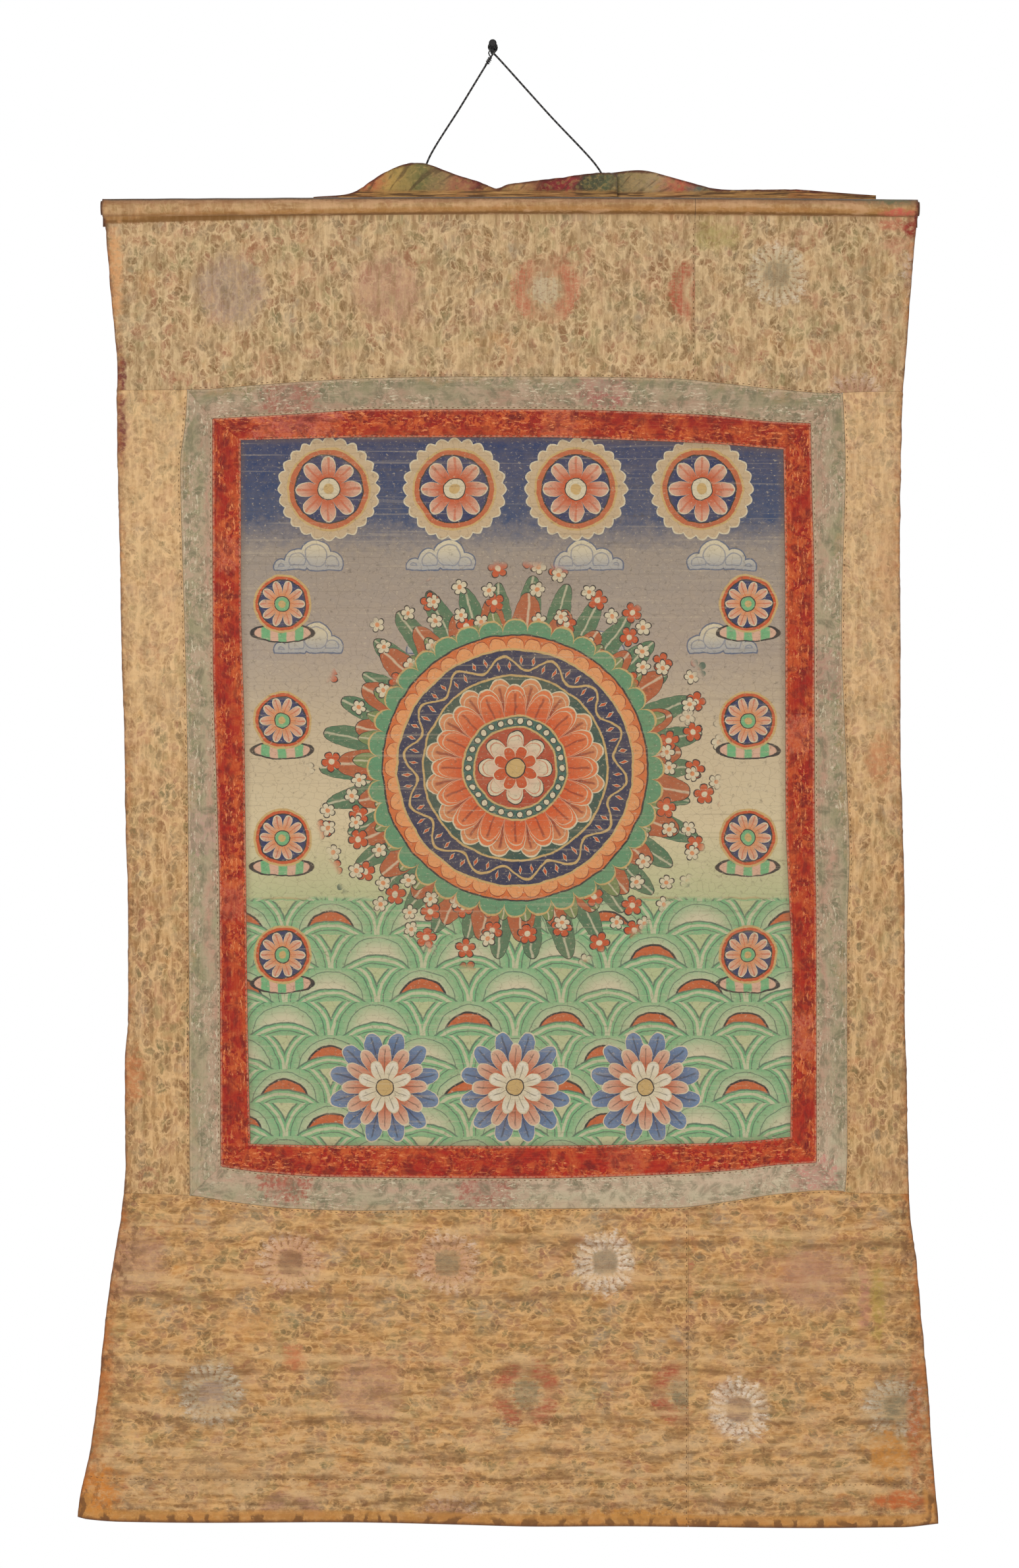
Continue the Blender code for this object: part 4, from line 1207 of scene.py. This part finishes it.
def rim_of(x, down):
    """Distance in mm to the nearest raw side edge or to the hem's fold."""
    return min(x - left_edge(down), right_edge(down) - x, hem_edge(x) - down)


def sides(side, seam_at):
    """The left and the right edge, by down, of a cut between a seam and the cloth's worn outer side."""
    if side == "left":
        return worn_left, lambda down: seam_at(down) - HALF_GAP
    return lambda down: seam_at(down) + HALF_GAP, worn_right


def seam_distance(side, wide, u):
    """Distance in mm from the seam at the inner side of a left or a right cut."""
    return ((1 - u) if side == "left" else u) * wide


def frame_strip(name, mat, edge, outer, inner):
    """One mitred strip between two rings of seams."""
    out_at = ring_edge(outer, edge)
    in_at = ring_edge(inner, edge)
    length = (Vector(out_at(1)) - Vector(out_at(0))).length
    width = (Vector(in_at(0.5)) - Vector(out_at(0.5))).length
    end_inset = 0.5 * SEAM_GAP / length
    side_inset = 0.3 * SEAM_GAP / width

    def place(u, v):
        along = end_inset + u * (1 - 2 * end_inset)
        across = side_inset + v * (1 - 2 * side_inset)
        at = Vector(out_at(along)).lerp(Vector(in_at(along)), across)
        distances = (v * width, (1 - v) * width, u * length, (1 - u) * length)
        return on_cloth(at.x, at.y, behind=seam_roll(*distances)), (at.x, at.y), v

    obj = cloth(name, mat, stations(length), stations(width), place)
    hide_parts(name.replace("visual_", ""))
    steps = [k / 16 for k in range(17)]
    area = flat_area([out_at(t) for t in steps] + [in_at(t) for t in reversed(steps)])


def painting(mat):
    edges = {name: ring_edge(PAINTING_EDGE, name) for name in PAINTING_EDGE}
    wide, tall = CANVAS_SIZE
    inset = CANVAS_INSET

    def place(u, v):
        left, right = (edges[name](v)[0] for name in ("left", "right"))
        top, bottom = (edges[name](u)[1] for name in ("top", "bottom"))
        x = left + inset + (right - left - 2 * inset) * u
        down = top + inset + (bottom - top - 2 * inset) * v
        seam = min(u * wide, (1 - u) * wide, v * tall, (1 - v) * tall)
        return on_cloth(x, down, behind=seam_roll(seam)), (x, down), seam

    obj = cloth("canvas", mat, stations(wide), stations(tall), place)
    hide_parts("painting")


def top_panel(side, mat):
    """A width of the heading: flat up to the stitch line, round the rod and down behind as a short tail."""
    left_at, right_at = sides(side, lambda down: TOP_SEAM_X)
    start = SLEEVE_LEFT if side == "left" else left_at(0)
    wide = (right_at(0) if side == "left" else SLEEVE_RIGHT) - start
    radius = ROD_RADIUS + SLEEVE_CLEARANCE + 0.5 * CLOTH_THICK
    ring_count = 28
    ring_angle = math.tau - 2 * SLEEVE_PINCH
    ring_length = ring_angle * radius
    rows = [("flat", v) for v in stations(TOP_FLAT_HEIGHT, near_end=False)]
    rows += [("ring", k / ring_count) for k in range(ring_count + 1)]
    rows += [("tail", k / 2) for k in (1, 2)]

    def place(u, row):
        kind, t = row
        if kind == "flat":
            ends = (lambda x: STITCH_DOWN, lambda x: upper_seam(x) - HALF_GAP)
            x, down = between(left_at, right_at, *ends, u, 1 - t)
            pinned = max(0.0, 1 - (down - STITCH_DOWN) / 14)
            roll = seam_roll(upper_seam(x) - down, seam_distance(side, wide, u))
            return on_cloth(x, down, behind=roll - STITCH_STEP * pinned**2), (x, down), rim_of(x, down)
        x = start + wide * u
        rim = min(x - SLEEVE_LEFT, SLEEVE_RIGHT - x)
        if kind == "ring":
            angle = SLEEVE_PINCH + ring_angle * t
            reach = radius + 0.25 * noise.noise((x / 22, 3 * t, 6)) * math.sin(math.pi * t) ** 0.5
            at = scene_point(x, ROD_OFF + reach * math.sin(angle), rod_down(x) + reach * math.cos(angle))
            return at, (x, STITCH_DOWN - 1 - ring_length * t), rim
        off = ROD_OFF - radius * math.sin(SLEEVE_PINCH) - TAIL_SETBACK
        down = rod_down(x) + radius * math.cos(SLEEVE_PINCH) + STITCH_TAIL * t
        return scene_point(x, off, down), (x, STITCH_DOWN - 2 - ring_length - STITCH_TAIL * t), rim

    obj = cloth("heading_" + side, mat, stations(wide), rows, place)
    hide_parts("top_panel_" + side)


def side_panel(side, mat):
    left_at, right_at = sides(side, curve(GREY_OUTER[side]))
    wide, tall = SIDE_SIZE

    def place(u, v):
        ends = (lambda x: upper_seam(x) + HALF_GAP, lambda x: lower_seam(x) - HALF_GAP)
        x, down = between(left_at, right_at, *ends, u, v)
        roll = seam_roll(down - upper_seam(x), lower_seam(x) - down, seam_distance(side, wide, u))
        return on_cloth(x, down, behind=roll), (x, down), rim_of(x, down)

    obj = cloth("side_" + side, mat, stations(wide), stations(tall), place)
    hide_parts("side_panel_" + side)
    width = right_at(SIDE_WIDTH_DOWN) - left_at(SIDE_WIDTH_DOWN)


def bottom_panel(side, mat):
    """A width of the foot: flat down to the hem's edge, round its fold and up behind."""
    left_at, right_at = sides(side, lambda down: BOTTOM_SEAM_X)
    fold = HEM_FOLD_RADIUS
    wide = right_at(FOOT_WIDTH_DOWN) - left_at(FOOT_WIDTH_DOWN)
    rows = [("flat", v) for v in stations(FOOT_FLAT_HEIGHT, near_end=False)]
    rows += [("turn", k / 8) for k in range(1, 9)]
    rows += [("back", k / 10) for k in range(1, 11)]

    def place(u, row):
        kind, t = row
        ends = (lambda x: lower_seam(x) + HALF_GAP, lambda x: hem_edge(x) - fold - 0.5 * CLOTH_THICK)
        x, down = between(left_at, right_at, *ends, u, t if kind == "flat" else 1)
        if kind == "flat":
            roll = seam_roll(down - lower_seam(x), seam_distance(side, wide, u))
            return on_cloth(x, down, behind=roll), (x, down), rim_of(x, down)
        if kind == "turn":
            angle = math.pi * t
            at = on_cloth(x, down) + Vector((0, fold * (1 - math.cos(angle)), -fold * math.sin(angle))) * MM
            return at, (x, down + 4 * t), 0.5
        up = (HEM_HEIGHT - fold) * t
        y = down - up
        back_x = left_at(y) + (right_at(y) - left_at(y)) * u + HEM_BACK_INSET * (1 - 2 * u)
        return on_cloth(back_x, y, behind=2 * fold), (x, down + 4 + up), 6.0

    obj = cloth("foot_" + side, mat, stations(wide), rows, place)
    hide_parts("bottom_panel_" + side)


def cover_cloth(mat):
    """The cover bunched behind the rod: a strip on edge, pleated once, drawn up in two humps."""
    spans = len(COVER_ROUTE) - 1
    cells = spans * 7

    def place(u, v):
        x, off, top = spline(COVER_ROUTE, u * spans)
        down = COVER_FOOT_DOWN + (top - COVER_FOOT_DOWN) * v
        lean = COVER_LEAN * ((COVER_FOOT_DOWN - down) / COVER_HEIGHT) ** 1.5
        ripple = 0.25 * v * noise.noise((x / 9, off / 3, down / 30))
        ridge = max(0.0, 1 - 2.4 * abs(noise.noise((x / 12 + 1.4 * v, 0.9 * v, 7))))
        ridge += 0.5 * max(0.0, 1 - 2.4 * abs(noise.noise((x / 6 - v, 0.5 * v, 4))))
        outside = min(max((off - 13.6) / 1.4, 0.0), 1.0) * min(max((132 - down) / 8, 0.0), 1.0)
        at = scene_point(x, off - lean + ripple + FOLD_DEPTH * ridge * outside, down)
        return at, (x, down), down - top

    us = [k / cells for k in range(cells + 1)]
    obj = cloth("bunched_cover", mat, us, [k / 12 for k in range(13)], place)
    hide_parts("cover_cloth")


# ==== string, nail and rod ====================
PLY_COUNT = 3
PLY_PITCH = 6
SLUB_PITCH = 4.7
STRING_SIDES = 12
STRING_STEP = 0.9

KNOT_FROM = (-2.2, 12.6, 7.6)
KNOT_TO = (-4.9, 12.35, 12.2)
KNOT_TURNS = 3
KNOT_STEPS = 14
KNOT_TAIL = ((-6, 13.5, 12.8), (-6.7, 13.9, 14.6), (-7.2, 14, 16.2))
NAIL_TURN_OFF = 11.2
NAIL_TURN_RADIUS = 2.95

STITCH_LENGTH = 2.6
STITCH_PITCH = 5
STITCH_RADIUS = 0.26
STITCH_INSET = 1.5


def route_points(rows, parts_of):
    """Points in metres along the smooth curve through rows of (x, off, down), in parts_of(length) a span."""
    points = []
    for i, (one, two) in enumerate(zip(rows, rows[1:])):
        parts = parts_of(math.dist(one, two))
        points += [scene_point(*spline(rows, i + k / parts)) for k in range(parts)]
    return points


def twisted_tube(name, mat, points, radius):
    """A laid string: a tube whose three-lobed section turns as it goes. Its length is kept in "flat"."""
    bm = bmesh.new()
    flat = bm.verts.layers.float_vector.new("flat")
    across = (points[1] - points[0]).normalized().orthogonal().normalized()
    gone = 0.0
    rings = []
    for i, at in enumerate(points):
        if i:
            gone += (at - points[i - 1]).length / MM
        ahead = (points[min(i + 1, len(points) - 1)] - points[max(i - 1, 0)]).normalized()
        across = (across - ahead * across.dot(ahead)).normalized()
        other = ahead.cross(across)
        ring = []
        for k in range(STRING_SIDES):
            angle = math.tau * k / STRING_SIDES
            ply = PLY_COUNT * (angle - math.tau * gone / PLY_PITCH)
            reach = radius * MM * (0.97 + 0.12 * math.cos(ply))
            vert = bm.verts.new(at + (across * math.cos(angle) + other * math.sin(angle)) * reach)
            vert[flat] = (gone, ply, 0)
            ring.append(vert)
        rings.append(ring)
    for low, high in zip(rings, rings[1:]):
        for k in range(STRING_SIDES):
            after = (k + 1) % STRING_SIDES
            bm.faces.new((low[k], low[after], high[after], high[k]))
    bm.faces.new(list(reversed(rings[0])))
    bm.faces.new(rings[-1])
    return mesh_object(name, bm, mat)


def string(mat):
    points = route_points(CORD_ROUTE, lambda length: max(4, round(length / STRING_STEP)))
    points.append(scene_point(*CORD_ROUTE[-1]))
    obj = twisted_tube("string", mat, points, 0.5 * CORD_DIAMETER)
    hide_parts("hanging_cord")
    knot = string_knot(mat)


def string_knot(mat):
    """The string's end: once round the nail, then wrapped round the left leg, with a short tail."""
    start = Vector(KNOT_FROM)
    axis = Vector(KNOT_TO) - start
    side = axis.normalized().orthogonal().normalized()
    other = axis.normalized().cross(side)
    radius = 0.5 * CORD_DIAMETER + 0.55
    nail_down = -NAIL_RISE * NAIL_TURN_OFF / NAIL_LENGTH
    rows = []
    for k in range(9):
        angle = math.radians(60 - 34 * k)
        x = NAIL_TURN_RADIUS * math.cos(angle)
        rows.append((x, NAIL_TURN_OFF + 0.1 * k, nail_down + NAIL_TURN_RADIUS * math.sin(angle)))
    rows.append((-3.7, 12.3, 3.4))
    steps = KNOT_STEPS * KNOT_TURNS
    for i in range(steps + 1):
        angle = math.tau * KNOT_TURNS * i / steps
        rows.append(start + axis * (i / steps) + (side * math.cos(angle) + other * math.sin(angle)) * radius)
    points = route_points([*rows, *KNOT_TAIL], lambda length: 3)
    return twisted_tube("string_knot", mat, points, 0.6)


def add_stitch(bm, x0, d0, x1, d1):
    """One stitch: a thread that rises out of the cloth and goes back in, from (x0, d0) to (x1, d1) in mm."""
    front = 0.5 * CLOTH_THICK
    low = on_cloth(x0, d0, behind=-front + 0.25)
    high = on_cloth(x1, d1, behind=-front + 0.25)
    crown = on_cloth(0.5 * (x0 + x1), 0.5 * (d0 + d1), behind=-front - STITCH_RADIUS)
    out = Vector((0, -1, 0))
    side = (high - low).normalized().cross(out).normalized() * STITCH_RADIUS * MM
    rise = out * STITCH_RADIUS * MM
    first = bm.verts.new(low)
    last = bm.verts.new(high)
    middles = (low.lerp(crown, 0.62), crown, crown.lerp(high, 0.38))
    rings = [[bm.verts.new(at + d) for d in (side, rise, -side, -rise)] for at in middles]
    for k in range(4):
        after = (k + 1) % 4
        bm.faces.new((first, rings[0][k], rings[0][after]))
        bm.faces.new((last, rings[-1][after], rings[-1][k]))
        for one, two in zip(rings, rings[1:]):
            bm.faces.new((one[k], two[k], two[after], one[after]))


def stitch_line(bm, points):
    """Even hand stitches along a line of (x, down) points, a little crooked."""
    gone = 0.0
    due = 3.0
    count = 0
    for (x0, d0), (x1, d1) in zip(points, points[1:]):
        run = math.hypot(x1 - x0, d1 - d0)
        ux = (x1 - x0) / run
        ud = (d1 - d0) / run
        while due < gone + run:
            reach = STITCH_LENGTH * (1 + 0.3 * noise.noise((count * 1.7, x0 * 0.1, 2)))
            lean = 0.35 * noise.noise((count * 2.3, d0 * 0.1, 5))
            x = x0 + ux * (due - gone) - ud * lean
            down = d0 + ud * (due - gone) + ux * lean
            add_stitch(bm, x, down, x + ux * reach, down + ud * reach)
            due += STITCH_PITCH * (1 + 0.15 * noise.noise((count * 0.9, 3, x0 * 0.1)))
            count += 1
        gone += run


def seam_stitches(mat):
    """The sewing: beside each seam of the frames, along both pieced seams, the sleeve and the hem."""
    bm = bmesh.new()
    steps = [k / 60 for k in range(61)]
    shifts = {"top": (0, -1), "bottom": (0, 1), "left": (-1, 0), "right": (1, 0)}
    for ring in (GREY_OUTER, RED_OUTER, PAINTING_EDGE):
        for name, (sx, sd) in shifts.items():
            edge = ring_edge(ring, name)
            line = [edge(0.004 + u * 0.992) for u in steps]
            stitch_line(bm, [(x + sx * STITCH_INSET, down + sd * STITCH_INSET) for x, down in line])
    xs = [left_edge(160) + 4 + (right_edge(160) - left_edge(160) - 8) * u for u in steps]
    stitch_line(bm, [(x, STITCH_DOWN + 3.4) for x in xs])
    xs = [(-344 + 712 * u) * 1.05 for u in steps]
    stitch_line(bm, [(x, hem_edge(x) - HEM_HEIGHT + 2.5) for x in xs])
    for at, low, high in (
        (TOP_SEAM_X, STITCH_DOWN + 4, upper_seam(TOP_SEAM_X) - 3),
        (BOTTOM_SEAM_X, lower_seam(BOTTOM_SEAM_X) + 3, hem_edge(BOTTOM_SEAM_X) - 4),
    ):
        stitch_line(bm, [(at - STITCH_INSET, low + (high - low) * u) for u in steps])
    mesh_object("stitches", bm, mat)


def simple_material(name, colour, rough, grain, metallic=0):
    """A bare material with fine mottling and relief of a grain in mm, placed by object coordinates."""
    net = Net(name)
    x, y, z = [s * 1000 for s in net.split(net.node("ShaderNodeTexCoord").outputs["Object"])]
    mottle = net.noise(grain, at=(x, z + y), detail=4, seed=2)
    net.colour, _ = net.ramp(mottle, ((0.3, tuple(int(c * 0.7) for c in colour)), (0.7, colour)))
    return net.finish(rough, mottle * 0.2, sheen=0, metallic=metallic)


def string_material():
    """Dark laid string, each ply catching the light."""
    net = Net("dark_string")
    length, ply, _ = net.cloth_place()
    fibre = net.noise(1.6, 0.35, detail=4, rough=0.7, seed=4)
    groove = ply.cos().step(-0.2, -0.95)
    net.colour, _ = net.ramp(fibre, ((0.3, (20, 20, 21)), (0.7, (46, 44, 43))))
    # painted shade in the grooves between the plies
    net.lay(groove * 0.75, (14, 13, 14))
    slub = (length * (math.tau / SLUB_PITCH) + fibre * 2).cos()
    net.lay(slub.step(0, -0.8) * 0.45, (126, 122, 118))
    return net.finish(0.9, fibre * 0.25 - groove * 0.2, bump=0.5, sheen=0.1)


# ==== stage ====================
AMBIENT = 0.45
PURE_WHITE = (1.0, 1.0, 1.0, 1.0)
FLOOR_GREY = (0.82, 0.82, 0.82, 1.0)
LAMP_AIM = (0, 0, -0.65)
LAMPS = (("key", (-0.7, -3.2, 0.25), 1.4, 62), ("fill", (1.6, -3, -1), 2, 18))


def camera():
    data = bpy.data.cameras.new("camera")
    obj = bpy.data.objects.new("camera", data)
    bpy.context.scene.collection.objects.link(obj)
    x = (IMAGE_WIDTH_PX / 2 - NAIL_PX[0]) * MM_PER_PX * MM
    z = (NAIL_PX[1] - IMAGE_HEIGHT_PX / 2) * MM_PER_PX * MM
    obj.location = (x, -CAMERA_DISTANCE, z)
    obj.rotation_euler = (math.radians(90), 0, 0)
    data.sensor_fit = "VERTICAL"
    data.sensor_height = 24.0
    depth = CAMERA_DISTANCE - (ROD_OFF + 0.5 * CLOTH_THICK) * MM
    data.lens = data.sensor_height * depth / (IMAGE_HEIGHT_PX * MM_PER_PX * MM)
    data.clip_end = 50.0
    bpy.context.scene.camera = obj


def stage():
    """A white floor under the hanging, with soft light all round and a little more from in front."""
    world = bpy.data.worlds.new("studio")
    bpy.context.scene.world = world
    world.use_nodes = True
    tree = world.node_tree
    ambient = tree.nodes["Background"]
    seen = tree.nodes.new("ShaderNodeBackground")
    for background, strength in ((ambient, AMBIENT), (seen, 1.0)):
        background.inputs["Color"].default_value = PURE_WHITE
        background.inputs["Strength"].default_value = strength
    path = tree.nodes.new("ShaderNodeLightPath")
    mix = tree.nodes.new("ShaderNodeMixShader")
    tree.links.new(path.outputs["Is Camera Ray"], mix.inputs["Fac"])
    tree.links.new(ambient.outputs["Background"], mix.inputs[1])
    tree.links.new(seen.outputs["Background"], mix.inputs[2])
    tree.links.new(mix.outputs["Shader"], tree.nodes["World Output"].inputs["Surface"])
    bm = bmesh.new()
    bmesh.ops.create_grid(bm, x_segments=1, y_segments=1, size=2.3)
    mesh = bpy.data.meshes.new("floor")
    bm.to_mesh(mesh)
    bm.free()
    floor = bpy.data.objects.new("floor", mesh)
    bpy.context.scene.collection.objects.link(floor)
    floor.location = (0, -1.6, -1.62)
    net = Net("pale_floor")
    net.feed(net.shader.inputs["Base Color"], FLOOR_GREY)
    net.feed(net.shader.inputs["Roughness"], 0.9)
    mesh.materials.append(net.material)
    for name, at, size, power in LAMPS:
        light = bpy.data.lights.new(name, "AREA")
        light.size = size
        light.energy = power
        lamp = bpy.data.objects.new(name, light)
        lamp.location = at
        lamp.rotation_euler = (Vector(LAMP_AIM) - Vector(at)).to_track_quat("-Z", "Y").to_euler()
        bpy.context.scene.collection.objects.link(lamp)
    bpy.context.scene.view_settings.view_transform = "Standard"


# ==== everything ====================
# the pieced brocades: builder, zone, (upright, pale, deep, stains), then the (origin, heads) of both sides
PANELS = (
    (
        top_panel, "top", (True, (210, 176, 128), (176, 142, 98), TOP_STAINS),
        ((-233, 217), TOP_LEFT_BLOOMS), ((253, 203), TOP_RIGHT_BLOOMS),
    ),
    (
        side_panel, "side", (True, (218, 174, 118), (184, 140, 88), SIDE_STAINS),
        ((-330, 340), SIDE_BLOOMS), ((350, 380), SIDE_BLOOMS),
    ),
    (
        bottom_panel, "bottom", (False, (218, 166, 102), (182, 130, 72), FOOT_STAINS),
        ((-320, 1082), BOTTOM_LEFT_BLOOMS), ((219, 1212), BOTTOM_RIGHT_BLOOMS),
    ),
)


def main():
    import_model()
    camera()
    string(string_material())
    stage()
    painting(painted("painted_canvas_look"))
    silks = {}
    for slot, look in (("red_silk", RED_SILK), ("grey_silk", GREY_SILK)):
        for upright, ending in ((True, "_upright"), (False, "_level")):
            silks[slot, upright] = strip_silk(slot + ending, upright, **look)
    for edge in ("top", "bottom", "left", "right"):
        for tint, outer, inner in (("red", RED_OUTER, PAINTING_EDGE), ("grey", GREY_OUTER, RED_OUTER)):
            slot = tint + "_silk"
            mat = silks[slot, edge in ("left", "right")]
            frame_strip(f"visual_{tint}_strip_{edge}", mat, edge, outer, inner)
    for build, zone, look, *pieces in PANELS:
        for side, (origin, blooms) in zip(("left", "right"), pieces):
            build(side, brocade(f"brocade_{zone}_{side}", origin, blooms, *look))
    cover_cloth(cover_silk())
    seam_stitches(simple_material("sewing_thread", (150, 112, 74), 0.8, 2))
    for node, mat in (
        ("top_rod", simple_material("old_wood", (120, 78, 52), 0.6, 3)),
        ("nail", simple_material("blackened_iron", (40, 38, 38), 0.5, 1.2, metallic=0.6)),
    ):
        materials = bpy.data.objects[node].data.materials
        materials.clear()
        materials.append(mat)


main()
